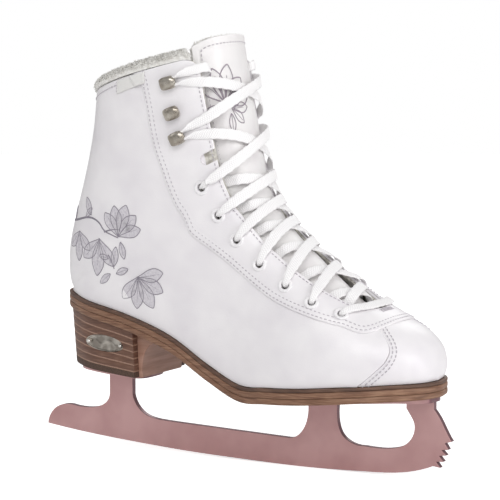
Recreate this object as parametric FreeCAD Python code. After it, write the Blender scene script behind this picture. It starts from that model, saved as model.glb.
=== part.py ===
"""Women's figure skate for the right foot: boot, leather sole and heel, laces and blade.

Frame: millimetres, +X towards the toe, +Y towards the inner (medial) side, +Z up.
The origin lies under the middle of the skate, in the plane of the blade, at the
height of the lowest point of the running edge.
"""
import FreeCAD, Part
import math
import os

V = FreeCAD.Vector

# ---------------------------------------------------------------- driving dimensions
SOLE_LENGTH = 255.6           # toe tip to heel, along X
BALL_WIDTH = 91.5             # widest part of the upper
GAP = 0.2                     # clearance between neighbouring layers
SOFT_GAP = 0.35               # clearance between soft pieces that rest on each other

LEATHER = 1.5                 # outer upper
FACING = 1.0                  # eyestay sewn on top of the upper
STIFFENER = 1.4               # heel counter, toe puff and ankle foam
LINING = 1.8                  # fleece lining
CUFF_HEIGHT = 7.0             # fleece roll on the collar
LABEL = 0.5                   # woven tag
TONGUE_FACING = 1.2
TONGUE_FOAM = 4.5
TONGUE_LINING = 2.0

FILLER = 2.2
INSOLE_BOARD = 2.2
FOOTBED = 4.0
WELT = 2.0
MIDSOLE = 3.6
OUTSOLE = 3.6
WELT_MARGIN = 2.4             # how far the sole stands out past the upper
SHANK_WIDTH = 14.0
SHANK_THICKNESS = 1.6

HEEL_LIFTS = 7
HEEL_FRONT = -60.0
HEEL_TOP_SETBACK = 1.0        # the heel's top edge stands this far inside the sole's edge
HEEL_TAPER = 3.2              # how far the heel draws in from top to bottom
HEEL_BASE_HEIGHT = 50.6       # height of the heel's underside at its front
HEEL_BASE_RISE = 4.2          # rise of the underside over the heel's run towards the back
HEEL_RUN = 55.0
BREAST_THICKNESS = 2.4
BREAST_FLARE = 13.0
BREAST_HALF_LOW = 24.6        # half width of the heel breast at its foot and at the sole
BREAST_HALF_HIGH = 27.0

BLADE_THICKNESS = 4.0
PLATE = 3.0                   # mounting plates
SCREW_RADIUS = 1.9
SCREW_HEAD_RADIUS = 3.6
SCREW_HEAD_DEPTH = 2.0
SCREW_LENGTH = 9.5
FIT = 0.15                    # radial clearance of screws, rivets and eyelets

EYELET_BORE = 2.4
EYELET_BARREL = 3.1
EYELET_FLANGE = 4.6
EYELET_RIM = 0.8
HOOK_WIDTH = 8.0
HOOK_SHEET = 1.0
HOOK_LENGTH = 10.0
HOOK_THROAT = 3.9
RIVET_RADIUS = 1.5

LACE_WIDTH = 7.0
LACE_THICKNESS = 1.3
LACE_NECK = 3.4               # width of the lace where it is bunched in an eyelet
LACE_EDGEWISE = 2.6           # width of the lace standing on edge inside a hook

BADGE_LENGTH = 29.0
BADGE_HEIGHT = 10.5
BADGE_THICKNESS = 2.0
BADGE_CENTRE = (-82.5, 71.0)
BADGE_LEAN = 4.0              # degrees the badge drops towards the front
PIN_RADIUS = 0.9
PIN_DEPTH = 4.0
PIN_HEAD_RISE = 0.6           # centre of the pin's head above the badge

LONG = SOLE_LENGTH / 255.6
WIDE = BALL_WIDTH / 91.5
SOLE_STACK = WELT + MIDSOLE + OUTSOLE

# ---------------------------------------------------------------- the boot's skin
# Each station is one girth section of the last: its point on the front centre line, its
# point on the sole or back centre line (both X, Z), the sweep angle at which the section
# ends on the sole's edge (180 is a closed ring), the outer and inner half widths, and how
# square the section is in front and behind.
STATIONS = [
    ((134.0, 60.6), (134.0, 60.6), 100, 0.0, 0.0, 0.03, 0.03),
    ((134.4, 67.0), (131.0, 60.6), 100, 13.0, 14.5, 0.03, 0.03),
    ((133.0, 75.0), (124.5, 60.5), 100, 22.0, 24.0, 0.03, 0.03),
    ((128.5, 83.0), (114.5, 60.2), 100, 30.5, 32.5, 0.03, 0.03),
    ((118.5, 91.0), (101.0, 59.2), 101, 37.5, 39.0, 0.03, 0.03),
    ((102.5, 98.3), (83.0, 57.8), 102, 43.0, 43.5, 0.03, 0.03),
    ((85.6, 106.6), (62.0, 56.0), 103, 45.5, 46.4, 0.035, 0.03),
    ((68.8, 118.5), (41.0, 54.8), 104, 44.5, 46.0, 0.04, 0.02),
    ((52.6, 131.7), (20.0, 54.4), 106, 40.5, 43.1, 0.05, 0.02),
    ((39.0, 143.6), (-4.0, 64.5), 109, 37.0, 39.2, 0.06, 0.02),
    ((30.4, 152.1), (-32.0, 80.0), 113, 35.5, 37.3, 0.07, 0.02),
    ((24.5, 160.3), (-64.0, 90.8), 119, 35.0, 37.2, 0.07, 0.02),
    ((20.4, 167.0), (-92.0, 96.5), 128, 35.0, 37.4, 0.07, 0.01),
    ((18.2, 172.4), (-108.0, 99.6), 145, 35.0, 37.5, 0.07, 0.0),
    ((16.6, 177.3), (-117.5, 101.2), 162, 35.0, 37.5, 0.07, 0.0),
    ((15.2, 182.3), (-121.6, 103.0), 180, 35.0, 38.0, 0.07, 0.0),
    ((13.4, 190.4), (-123.4, 112.5), 180, 35.0, 38.0, 0.07, 0.0),
    ((10.7, 200.7), (-122.6, 129.0), 180, 35.0, 38.5, 0.07, 0.0),
    ((7.8, 213.0), (-117.3, 150.0), 180, 35.0, 38.5, 0.07, 0.0),
    ((4.8, 226.0), (-110.0, 174.0), 180, 35.5, 39.0, 0.07, 0.0),
    ((1.7, 239.5), (-103.5, 201.0), 180, 36.5, 39.9, 0.07, 0.0),
    ((-1.2, 253.0), (-99.8, 230.0), 180, 37.5, 40.7, 0.065, 0.0),
    ((-3.2, 266.0), (-98.6, 250.0), 180, 38.0, 41.0, 0.06, 0.0),
]
LAST_STATION = len(STATIONS) - 1
HEEL_STATION = 15             # from here up the sections are closed rings
COLUMNS = [
    [s[0][0] * LONG for s in STATIONS],
    [s[0][1] for s in STATIONS],
    [s[1][0] * LONG for s in STATIONS],
    [s[1][1] for s in STATIONS],
    [math.radians(s[2]) for s in STATIONS],
    [s[3] * WIDE for s in STATIONS],
    [s[4] * WIDE for s in STATIONS],
    [s[5] for s in STATIONS],
    [s[6] for s in STATIONS],
]


def cubic(values, where):
    """Smooth value at a fractional index of an evenly spaced list."""
    last = len(values) - 1
    i = min(max(int(math.floor(where)), 0), last - 1)
    f = where - i
    p1 = values[i]
    p2 = values[i + 1]
    p0 = values[i - 1] if i > 0 else 2 * p1 - p2
    p3 = values[i + 2] if i + 2 <= last else 2 * p2 - p1
    m1 = (p2 - p0) / 2
    m2 = (p3 - p1) / 2
    a = 2 * f**3 - 3 * f**2 + 1
    b = f**3 - 2 * f**2 + f
    c = -2 * f**3 + 3 * f**2
    d = f**3 - f**2
    return a * p1 + b * m1 + c * p2 + d * m2


def table(pairs, where):
    """Smooth value from a short list of (position, value) pairs."""
    if where <= pairs[0][0]:
        return pairs[0][1]
    if where >= pairs[-1][0]:
        return pairs[-1][1]
    slopes = []
    for k in range(len(pairs)):
        lo = pairs[max(k - 1, 0)]
        hi = pairs[min(k + 1, len(pairs) - 1)]
        slopes.append((hi[1] - lo[1]) / (hi[0] - lo[0]))
    k = 0
    while pairs[k + 1][0] < where:
        k += 1
    x0, y0 = pairs[k]
    x1, y1 = pairs[k + 1]
    h = x1 - x0
    f = (where - x0) / h
    rise = (2 * f**3 - 3 * f**2 + 1) * y0 + (3 * f**2 - 2 * f**3) * y1
    return rise + (f**3 - 2 * f**2 + f) * h * slopes[k] + (f**3 - f**2) * h * slopes[k + 1]


def lerp(a, b, f):
    return a + (b - a) * f


def smooth(f):
    f = min(max(f, 0.0), 1.0)
    return f * f * (3 - 2 * f)


def end_angle(v):
    """Half sweep of the section at station v, as a share of a half turn."""
    if v >= HEEL_STATION:
        return 1.0
    return min(cubic(COLUMNS[4], v) / math.pi, 1.0)


def skin(t, v):
    """Point of the boot's outer skin: t runs round the section, 0 in front, +-1 behind."""
    fx, fz, rx, rz, sweep, outer, inner, flat, behind = [cubic(c, v) for c in COLUMNS]
    end = math.pi * end_angle(v)
    angle = math.pi * t
    square = lerp(behind, flat, ((1 + math.cos(angle)) / 2) ** 2)
    last = lerp(behind, flat, ((1 + math.cos(end)) / 2) ** 2)
    front = 1 - flat
    rear = math.cos(end) - last * math.cos(3 * end)
    share = (math.cos(angle) - square * math.cos(3 * angle) - rear) / (front - rear)
    half = outer if math.sin(angle) < 0 else inner
    y = half * (math.sin(angle) + square * math.sin(3 * angle)) / (1 - square)
    return V(lerp(rx, fx, share), y, lerp(rz, fz, share))


def normal(t, v):
    """Outward unit normal of the skin."""
    dt = 0.002
    around = skin(t + dt, v) - skin(t - dt, v)
    up = skin(t, min(v + 0.02, LAST_STATION)) - skin(t, max(v - 0.02, 0.01))
    n = around.cross(up)
    return n.normalize()


def at(t, v, depth):
    """Point at a depth under the skin, negative outside it."""
    return skin(t, v) - normal(t, v) * depth


FACE = -FACING - GAP          # depth of the facing's outer face
BACK = LEATHER + GAP + LINING  # depth of the lining's inner face beside the throat
EYELET_TOP = FACE - 0.3 - EYELET_RIM
OVER = FACE - SOFT_GAP - LACE_THICKNESS / 2
ABOVE_RING = EYELET_TOP - SOFT_GAP - LACE_THICKNESS / 2
OFF_RING = ABOVE_RING - 0.8    # lace just past a ring, where the boot curves away from it
UNDER = BACK + 1.0 + SOFT_GAP + LACE_THICKNESS / 2
CROSS_LOW = -0.1              # depths of the two laces where they cross
CROSS_HIGH = CROSS_LOW - LACE_THICKNESS - 0.85
TONGUE_LOW = UNDER + LACE_THICKNESS / 2 + SOFT_GAP + 0.4
TONGUE_CREST = 3.0            # depth of the tongue's face where it bulges through the throat
TONGUE_START = 4.95           # station of the sewn end, just in front of the throat

# ---------------------------------------------------------------- panel outlines, in (t, v)
THROAT_EDGE = [(6.0, 0.124), (7.2, 0.169), (9.3, 0.212), (10.85, 0.220), (13.1, 0.235),
               (14.95, 0.246), (17.35, 0.259), (18.9, 0.271), (21.5, 0.269)]
FACING_EDGE = [(5.6, 0.259), (6.7, 0.297), (8.5, 0.341), (11.0, 0.372), (14.1, 0.391),
               (16.5, 0.421), (18.05, 0.465), (19.6, 0.497), (20.45, 0.515), (21.2, 0.567)]
TOE_SEAM = [(0.0, 5.32), (0.06, 5.32), (0.105, 5.2), (0.188, 4.58), (0.269, 3.94),
            (0.32, 3.72), (0.388, 3.65), (0.443, 3.74), (0.5, 3.9), (0.57, 4.16)]
TOE_RIM = 0.561               # share of a half turn at which the toe's sections end
THROAT_BASE = 5.35
FACING_FRONT = 4.5
EYELETS = [(15.5, 0.318), (12.04, 0.289), (10.34, 0.293), (9.0, 0.284), (7.87, 0.264),
           (6.87, 0.243), (5.92, 0.207)]
HOOKS = [(20.4, 0.393), (19.35, 0.386), (18.34, 0.371)]
STEP = 0.007                  # seam gap along v, in stations


def collar(t):
    """Station of the leather's top edge, rounded off at its front corners."""
    t = abs(t)
    corner = max(0.0, 1 - (t - table(THROAT_EDGE, 21)) / 0.07)
    return 21.08 - 0.28 * t * t - 0.4 * corner**2


def lining_depth(t, v):
    """Depth of the lining's outer face: it dips where a stiffener lies behind the leather."""
    side = smooth((abs(t) - 0.435) / 0.05) * smooth((v - 9) / 2.5)
    toe = 1 - smooth((v - 3.0) / 0.6)
    return LEATHER + GAP + (STIFFENER + GAP) * max(side, toe)


# ---------------------------------------------------------------- solids from curved grids
def grid_face(point, a_count, b_count, c, through):
    """Curved face through a grid of points, or steered by them where bends are tight."""
    rows = []
    for i in range(a_count):
        a = i / (a_count - 1)
        rows.append([point(a, j / (b_count - 1), c) for j in range(b_count)])
    surface = Part.BSplineSurface()
    if through:
        surface.interpolate(rows)
        return surface
    degree = 3
    knots = []
    mults = []
    for count in (a_count, b_count):
        inner = count - degree
        knots.append([k / inner for k in range(inner + 1)])
        mults.append([degree + 1] + [1] * (inner - 1) + [degree + 1])
    surface.buildFromPolesMultsKnots(rows, mults[0], mults[1], knots[0], knots[1],
                                     False, False, degree, degree)
    return surface


def straight_wall(one, other):
    """Straight surface between two curves that share their knots."""
    wall = Part.BSplineSurface()
    wall.buildFromPolesMultsKnots([one.getPoles(), other.getPoles()],
                                  [2, 2], one.getMultiplicities(), [0, 1], one.getKnots(),
                                  False, False, 1, one.Degree)
    return wall


def block(point, a_count, b_count, through=True):
    """Solid between two curved grids, point(a, b, 0) and point(a, b, 1)."""
    low = grid_face(point, a_count, b_count, 0, through)
    high = grid_face(point, a_count, b_count, 1, through)
    faces = [low.toShape(), high.toShape()]
    u0, u1, v0, v1 = low.bounds()
    U0, U1, V0, V1 = high.bounds()
    pairs = [(low.uIso(u0), high.uIso(U0)), (low.uIso(u1), high.uIso(U1)),
             (low.vIso(v0), high.vIso(V0)), (low.vIso(v1), high.vIso(V1))]
    for one, other in pairs:
        if through:
            faces.append(Part.makeRuledSurface(one.toShape(), other.toShape()))
        else:
            faces.append(straight_wall(one, other).toShape())
    shell = Part.makeShell(faces)
    shell.sewShape()
    solid = Part.makeSolid(shell.Shells[0])
    if solid.Volume < 0:
        solid.reverse()
    return solid


def save(name, shape):
    """Write one node. A lone solid is written bare, several as a compound."""
    solids = shape.Solids
    body = solids[0] if len(solids) == 1 else Part.makeCompound(solids)
    body.exportStep("parts/%s.step" % name)
    volumes = ", ".join("%.0f" % s.Volume for s in solids[:4])
    print("%-24s %2d solids  valid %s  %s" % (name, len(solids), body.isValid(), volumes))


# ---------------------------------------------------------------- upper
def toe_seam(t):
    return table(TOE_SEAM, abs(t))


def vamp_layer(outer_depth, inner_depth, v_low, trim):
    """Toe piece from v_low up to the toe seam."""
    def point(a, b, c):
        v = lerp(v_low, toe_seam((2 * a - 1) * TOE_RIM) - trim, b)
        t = (2 * a - 1) * end_angle(v)
        depth = inner_depth(t, v) if c else outer_depth(t, v)
        return at(t, v, depth)
    return block(point, 41, 19)


def quarter_layer(side, outer_depth, inner_depth):
    """Side panel from the toe seam to the collar, side is -1 outer or +1 inner."""
    seam_gap = GAP / 2 / (math.pi * 35 * WIDE)

    def point(a, b, c):
        start = toe_seam(lerp(THROAT_EDGE[0][1], TOE_RIM, a)) + STEP
        top = collar(lerp(table(THROAT_EDGE, 21), 1, a))
        v = lerp(start, top, b)
        rim = end_angle(v)
        if v > HEEL_STATION - 1:
            rim -= seam_gap * (v - HEEL_STATION + 1 if v < HEEL_STATION else 1)
        t = side * lerp(table(THROAT_EDGE, v), rim, a)
        depth = inner_depth(t, v) if c else outer_depth(t, v)
        return at(t, v, depth)
    return block(point, 25, 71)


def outside(t, v):
    return 0


def leather_back(t, v):
    return LEATHER


def lining_back(t, v):
    return lining_depth(t, v) + LINING


def vamp_lining_face(t, v):
    return lining_depth(t, v) + GAP / 2


def vamp_lining_back(t, v):
    return lining_back(t, v) + GAP / 2


def eyestay():
    """U-shaped facing: down the outer side, round the throat's base, up the inner side."""
    def point(a, b, c):
        side = -1 if b < 0.5 else 1
        p = abs(2 * b - 1)
        turn = 0.2
        if p < turn:
            angle = p / turn * math.pi / 2
            inner = (THROAT_EDGE[0][1] * math.sin(angle), 6.0 - (6.0 - THROAT_BASE) * math.cos(angle))
            wide = (math.sin(angle) + 0.12 * math.sin(3 * angle)) / 0.88
            outer = (FACING_EDGE[0][1] * wide, 5.6 - (5.6 - FACING_FRONT) * math.cos(angle))
        else:
            f = (p - turn) / (1 - turn)
            top_in = collar(table(THROAT_EDGE, 21))
            top_out = collar(table(FACING_EDGE, 21))
            v_in = lerp(6.0, top_in, f)
            v_out = lerp(5.6, top_out, f)
            inner = (table(THROAT_EDGE, v_in), v_in)
            outer = (table(FACING_EDGE, v_out), v_out)
        t = side * lerp(inner[0], outer[0], a)
        v = lerp(inner[1], outer[1], a)
        if p >= turn:
            f = (p - turn) / (1 - turn)
            v = lerp(v, collar(t), f**6)
        depth = -GAP if c else -GAP - FACING
        return at(t, v, depth)
    return block(point, 9, 91)


def heel_counter():
    """Stiffener cup round the heel, between leather and lining."""
    def point(a, b, c):
        a = 2 * a - 1
        low_v = HEEL_STATION - 3 * abs(a)
        low = math.copysign(1 - end_angle(low_v), a)
        high = 0.42 * a
        b = lerp(0.004, 1, b)
        v = lerp(low_v, 17.6 - 1.2 * a * a, b)
        t = 1 - lerp(low, high, b)
        return at(t, v, LEATHER + GAP + (STIFFENER if c else 0))
    return block(point, 33, 13)


def ankle_foam():
    """Foam wrap above the counter, round the back of the ankle."""
    def point(a, b, c):
        a = 2.44 * a - 1.22
        t = 1 - 0.42 * a
        low_v = 17.75 - 1.2 * a * a
        v = lerp(low_v, collar(0.7) - 0.15, b)
        return at(t, v, LEATHER + GAP + (STIFFENER if c else 0))
    return block(point, 41, 15)


def toe_puff():
    """Stiff toe cap between leather and lining."""
    def point(a, b, c):
        v = lerp(0.45, 2.9, b)
        t = (2 * a - 1) * 0.53
        return at(t, v, LEATHER + GAP + (STIFFENER if c else 0))
    return block(point, 31, 9)


def collar_cuff():
    """Fleece roll that sits on the top edge of leather, foam and lining."""
    low_t = 0.31
    inside = LEATHER + STIFFENER + LINING + 2 * GAP

    def point(a, b, c):
        t = lerp(low_t, 2 - low_t, b)
        around = t if t <= 1 else t - 2
        base = at(t, collar(around) + 0.02, lerp(-FACING - GAP, inside, a))
        rise = 0.8 + (CUFF_HEIGHT - 0.8) * math.sin(math.pi * a) ** 0.7 if c else 0.0
        spread = (a - 0.5) * 1.6 * (1 - (2 * a - 1) ** 2) if c else 0.0
        up = skin(t, 21.5) - skin(t, 20.9)
        return base + up.normalize() * rise - normal(t, 21.0) * spread
    return block(point, 13, 61)


def collar_label():
    """Small woven tag on the outer side, over the rear corner of the facing."""
    def point(a, b, c):
        t = lerp(0.485, 0.621, a)
        v = collar(t) - lerp(0.40, 0.04, b)
        over = smooth((table(FACING_EDGE, v) + 0.012 - t) / 0.014)
        depth = -GAP - (FACING + GAP) * over - (LABEL if c else 0)
        return at(-t, v, depth)
    return block(point, 31, 7)


# ---------------------------------------------------------------- tongue
def tongue_half(v):
    """Half width of the tongue, as t."""
    return table([(4.95, 0.08), (5.45, 0.115), (6.5, 0.18), (8.0, 0.235), (10.0, 0.265),
                  (13.0, 0.285), (17.0, 0.30), (20.0, 0.305), (22.0, 0.30)], v)


def tongue_depth(t, v):
    """Depth of the tongue's face: sewn under the vamp, then bulging through the throat."""
    edge = table(THROAT_EDGE, v)
    sewn = (TONGUE_LOW - BACK - 2 * SOFT_GAP) * (1 - smooth((v - TONGUE_START - 0.1) / 0.7))
    side = smooth(abs(t) / (1.05 * edge))
    bulge = (TONGUE_LOW - TONGUE_CREST) * (1 - side) * smooth((v - 5.75) / 1.1)
    lean = 1.5 * smooth((v - 20.5) / 1.5)
    return TONGUE_LOW - sewn - bulge - lean * (1 - side)


def tongue_layer(start, thickness, inset):
    def point(a, b, c):
        top = 21.9 - 0.35 * abs(2 * a - 1) ** 2.5
        v = lerp(TONGUE_START, top, b)
        t = (2 * a - 1) * (tongue_half(v) - inset)
        depth = tongue_depth(t, v) + start + (thickness if c else 0)
        return at(t, v, depth)
    return block(point, 25, 61)


# ---------------------------------------------------------------- sole and heel
def sole_outline(margin):
    """Closed plan wire of the sole's edge, moved outwards by the margin."""
    points = []
    steps = 30
    for side in (-1, 1):
        line = []
        for k in range(steps + 1):
            v = HEEL_STATION * (1 - k / steps) if side < 0 else HEEL_STATION * k / steps
            p = skin(side * end_angle(v) * 0.9999, v)
            line.append(V(p.x, p.y, 0))
        points += line[1:-1] if side > 0 else line
    count = len(points)
    moved = []
    for k, p in enumerate(points):
        along = points[(k + 1) % count] - points[k - 1]
        out = V(along.y, -along.x, 0).normalize()
        moved.append(p + out * margin)
    curve = Part.BSplineCurve()
    curve.interpolate(moved, PeriodicFlag=True)
    return Part.Wire([curve.toShape()])


def plan_prism(margin, low=0.0, high=160.0):
    wire = sole_outline(margin)
    wire.translate(V(0, 0, low))
    return Part.Face(wire).extrude(V(0, 0, high - low))


def sole_curve(offset):
    """Side view of the sole's top face, moved up by the offset, run on past both ends."""
    points = [V(cubic(COLUMNS[2], v), 0, cubic(COLUMNS[3], v) + offset)
              for v in (14, 13, 12, 11, 10, 9.5, 9, 8.5, 8, 7, 6, 5, 4, 3, 2)]
    first = points[0]
    last = points[-1]
    points.insert(0, V(first.x - 20, 0, first.z + 1.5))
    points.append(V(last.x + 25, 0, last.z + 0.4))
    curve = Part.BSplineCurve()
    curve.interpolate(points)
    return curve


def side_slab(low_offset, high_offset):
    """Everything between two heights over the sole's top face."""
    low = sole_curve(low_offset).toShape()
    high = sole_curve(high_offset).toShape()
    ends = []
    for k in (0, -1):
        a = low.Vertexes[k].Point
        b = high.Vertexes[k].Point
        ends.append(Part.makeLine(a, b))
    wire = Part.Wire(Part.sortEdges([low, high] + ends)[0])
    face = Part.Face(wire)
    face.translate(V(0, -90, 0))
    return face.extrude(V(0, 180, 0))


def sole_plate_layer(margin, low_offset, high_offset):
    return plan_prism(margin).common(side_slab(low_offset, high_offset))


def sole_height(x, offset):
    """Height of the sole's top face at x, plus an offset."""
    curve = sole_curve(offset)
    lo, hi = curve.FirstParameter, curve.LastParameter
    for _ in range(50):
        mid = (lo + hi) / 2
        if curve.value(mid).x < x:
            lo = mid
        else:
            hi = mid
    return curve.value((lo + hi) / 2).z


def heel_base(x):
    """Height of the heel's underside."""
    return HEEL_BASE_HEIGHT + HEEL_BASE_RISE * (HEEL_FRONT * LONG - x) / HEEL_RUN


def heel_seat(x, gaps):
    """Height this many gaps below the underside of the heel plate."""
    return heel_base(x) - PLATE - gaps * GAP


def sole_seat(x, gaps):
    """Height this many gaps below the underside of the sole plate."""
    return sole_height(x, -SOLE_STACK - PLATE - (gaps + 4) * GAP)


def heel_block():
    """Tapered heel shape between its underside and the sole."""
    top = sole_outline(WELT_MARGIN - HEEL_TOP_SETBACK)
    top.translate(V(0, 0, 104))
    bottom = sole_outline(WELT_MARGIN - HEEL_TOP_SETBACK - HEEL_TAPER * 1.25)
    bottom.translate(V(0, 0, 40))
    column = Part.makeLoft([bottom, top], True, True)
    front = HEEL_FRONT * LONG
    back = front - 90
    profile = [V(front, -60, heel_base(front)), V(back, -60, heel_base(back)),
               V(back, -60, 120), V(front, -60, 120)]
    box = Part.Face(Part.makePolygon(profile + profile[:1])).extrude(V(0, 120, 0))
    under = side_slab(-60, -SOLE_STACK - 4 * GAP)
    return column.common(box).common(under)


def heel_lift_solids(shape):
    """Cut the heel into lifts, each an even share of the height at every x."""
    front = HEEL_FRONT * LONG
    xs = [front + 5, front - 10, front - 25, front - 40, front - 55, front - 75]
    lifts = []
    for k in range(HEEL_LIFTS):
        edges = []
        for share, gap in ((k / HEEL_LIFTS, GAP / 2), ((k + 1) / HEEL_LIFTS, -GAP / 2)):
            line = []
            for x in xs:
                low = heel_base(x) - 0.01
                high = sole_height(x, -SOLE_STACK - 4 * GAP)
                line.append(V(x, -70, lerp(low, high, share) + gap))
            curve = Part.BSplineCurve()
            curve.interpolate(line)
            edges.append(curve.toShape())
        face = Part.makeRuledSurface(edges[0], edges[1])
        lifts.append(shape.common(face.extrude(V(0, 140, 0))))
    return lifts


def heel_breast():
    """Cover of the heel's front face, flaring forwards under the sole."""
    front = HEEL_FRONT * LONG + GAP

    def point(a, b, c):
        half = lerp(BREAST_HALF_LOW, BREAST_HALF_HIGH, b) * WIDE
        y = lerp(-half, half * 0.96, a)
        bend = 1.4 * (1 - (2 * a - 1) ** 2)
        x = front + (BREAST_THICKNESS + BREAST_FLARE * b**3 - bend * b if c else 0.0)
        low = heel_base(x)
        high = sole_height(x, -SOLE_STACK - 5 * GAP)
        return V(x, y, lerp(low, high, b))
    return block(point, 9, 13)


# ---------------------------------------------------------------- blade
RUNNING_EDGE = [(-143.7, 10.9), (-106.9, 6.8), (-70.8, 4.0), (-35.4, 1.9), (6.9, 0.6),
                (45.0, 0.0), (86.0, 1.0), (115.3, 3.6), (131.5, 8.6)]
TOE_PICK = [(136.4, 8.0), (133.6, 11.5), (138.5, 11.8), (135.5, 15.2), (140.3, 15.8),
            (137.2, 18.8), (141.7, 19.4), (139.2, 23.2), (143.7, 24.4)]
TOE_FRONT = [(143.7, 24.4), (140.4, 29.5), (136.6, 36.5), (132.0, 42.7)]
TAIL = [(-143.7, 10.9), (-142.6, 15.5), (-138.5, 21.0), (-133.2, 23.9), (-125.2, 24.8)]
HEEL_POST_REAR = [(-125.2, 24.8), (-103.2, 25.7), (-98.6, 28.6), (-96.0, 35.7)]
HEEL_POST_FRONT = [(-78.8, 35.2), (-76.4, 29.1), (-70.7, 23.6), (-62.0, 20.8),
                   (-47.0, 19.8)]
RUNNER_TOP = [(-47.0, 19.8), (6.9, 18.0), (33.0, 17.2)]
MID_POST_REAR = [(33.0, 17.2), (39.5, 18.6), (44.6, 24.1), (47.2, 31.5), (47.7, 38.5)]
MID_POST_FRONT = [(67.5, 38.5), (67.9, 29.5), (70.9, 22.2), (76.5, 18.2), (85.7, 16.7)]
WINDOW = [(85.7, 16.7), (97.6, 16.3), (106.5, 17.4), (114.0, 20.5), (118.6, 26.8),
          (119.1, 33.0), (116.6, 38.0), (113.8, 42.0)]


def stretch(points):
    return [V(x * LONG, 0, z) for x, z in points]


def spline_edge(points):
    curve = Part.BSplineCurve()
    curve.interpolate(points)
    return curve.toShape()


def blade_runner():
    """Runner, posts and toe pick in one plate, its posts ending under the mounting plates."""
    edges = [spline_edge(stretch(RUNNING_EDGE))]
    pick = stretch([RUNNING_EDGE[-1]] + TOE_PICK)
    edges += [Part.makeLine(p, q) for p, q in zip(pick, pick[1:])]
    curves = [TOE_FRONT, WINDOW[::-1], MID_POST_FRONT[::-1], MID_POST_REAR[::-1],
              RUNNER_TOP[::-1], HEEL_POST_FRONT[::-1], HEEL_POST_REAR[::-1], TAIL[::-1]]
    end = pick[-1]
    for points in curves:
        line = stretch(points)
        if (line[0] - end).Length > 0.01:
            seat = sole_seat if line[0].x > 0 else heel_seat
            corner_one = V(end.x, 0, seat(end.x, 2))
            corner_two = V(line[0].x, 0, seat(line[0].x, 2))
            edges.append(Part.makeLine(end, corner_one))
            edges.append(Part.makeLine(corner_one, corner_two))
            edges.append(Part.makeLine(corner_two, line[0]))
        edges.append(spline_edge(line))
        end = line[-1]
    face = Part.Face(Part.Wire(edges))
    face.translate(V(0, -BLADE_THICKNESS / 2, 0))
    return face.extrude(V(0, BLADE_THICKNESS, 0))


def rounded_plan(x_low, x_high, half_low, half_high):
    """Plan face of a mounting plate with round ends, drawn at z 0."""
    points = []
    for k in range(24):
        angle = 2 * math.pi * k / 24
        c = math.cos(angle)
        s = math.sin(angle)
        x = (x_low + x_high) / 2 + (x_high - x_low) / 2 * math.copysign(abs(c) ** 0.55, c)
        half = lerp(half_low, half_high, (x - x_low) / (x_high - x_low))
        points.append(V(x, half * math.copysign(abs(s) ** 0.6, s), 0))
    curve = Part.BSplineCurve()
    curve.interpolate(points, PeriodicFlag=True)
    return Part.Face(Part.Wire([curve.toShape()]))


def heel_plate_blank():
    column = rounded_plan(-113 * LONG, -63 * LONG, 15 * WIDE, 20 * WIDE).extrude(V(0, 0, 120))
    back = -125 * LONG
    front = -55 * LONG
    low = -PLATE - GAP
    corners = [V(back, -50, heel_base(back) + low), V(front, -50, heel_base(front) + low),
               V(front, -50, heel_base(front) - GAP), V(back, -50, heel_base(back) - GAP)]
    slab = Part.Face(Part.makePolygon(corners + corners[:1])).extrude(V(0, 100, 0))
    return column.common(slab)


def sole_plate_blank():
    column = rounded_plan(31 * LONG, 133 * LONG, 21 * WIDE, 16 * WIDE).extrude(V(0, 0, 120))
    top = -SOLE_STACK - 5 * GAP
    return column.common(side_slab(top - PLATE, top))


HEEL_SCREWS = [(-105, -7), (-105, 7), (-88, -12), (-88, 12), (-71, -13), (-71, 13)]
SOLE_SCREWS = [(38, -12), (38, 12), (57, -14), (57, 14), (86, -13), (86, 13), (109, -11),
               (109, 11)]


def screw_solids(places, seat):
    """Countersunk screws driven upwards through a plate whose underside is at seat(x)."""
    screws = []
    for x, y in places:
        base = V(x * LONG, y * WIDE, seat(x * LONG, 1))
        head = Part.makeCone(SCREW_HEAD_RADIUS, SCREW_RADIUS, SCREW_HEAD_DEPTH, base, V(0, 0, 1))
        shank = Part.makeCylinder(SCREW_RADIUS, SCREW_LENGTH, base, V(0, 0, 1))
        slot = Part.makeBox(1.0, 5.0, 0.8, base - V(0.5, 2.5, 0.1))
        screws.append(head.fuse(shank).cut(slot))
    return screws


def screw_holes(places, seat):
    holes = []
    for x, y in places:
        base = V(x * LONG, y * WIDE, seat(x * LONG, 1))
        cone = Part.makeCone(SCREW_HEAD_RADIUS + 1.5 + FIT, SCREW_RADIUS + FIT,
                             SCREW_HEAD_DEPTH + 1.5, base - V(0, 0, 1.5), V(0, 0, 1))
        bore = Part.makeCylinder(SCREW_RADIUS + FIT, SCREW_LENGTH + 1, base - V(0, 0, 1),
                                 V(0, 0, 1))
        holes.append(cone.fuse(bore))
    return holes


# ---------------------------------------------------------------- eyelets and hooks
def frame_at(t, v, depth):
    """Local frame on the boot: place, outward normal, direction to the throat, upward."""
    place = at(t, v, depth)
    out = normal(t, v)
    ahead = skin(t - math.copysign(0.01, t), v) - skin(t + math.copysign(0.01, t), v)
    ahead = (ahead - out * ahead.dot(out)).normalize()
    up = out.cross(ahead)
    if up.z < 0:
        up = up * -1
    return place, out, ahead, up


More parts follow.
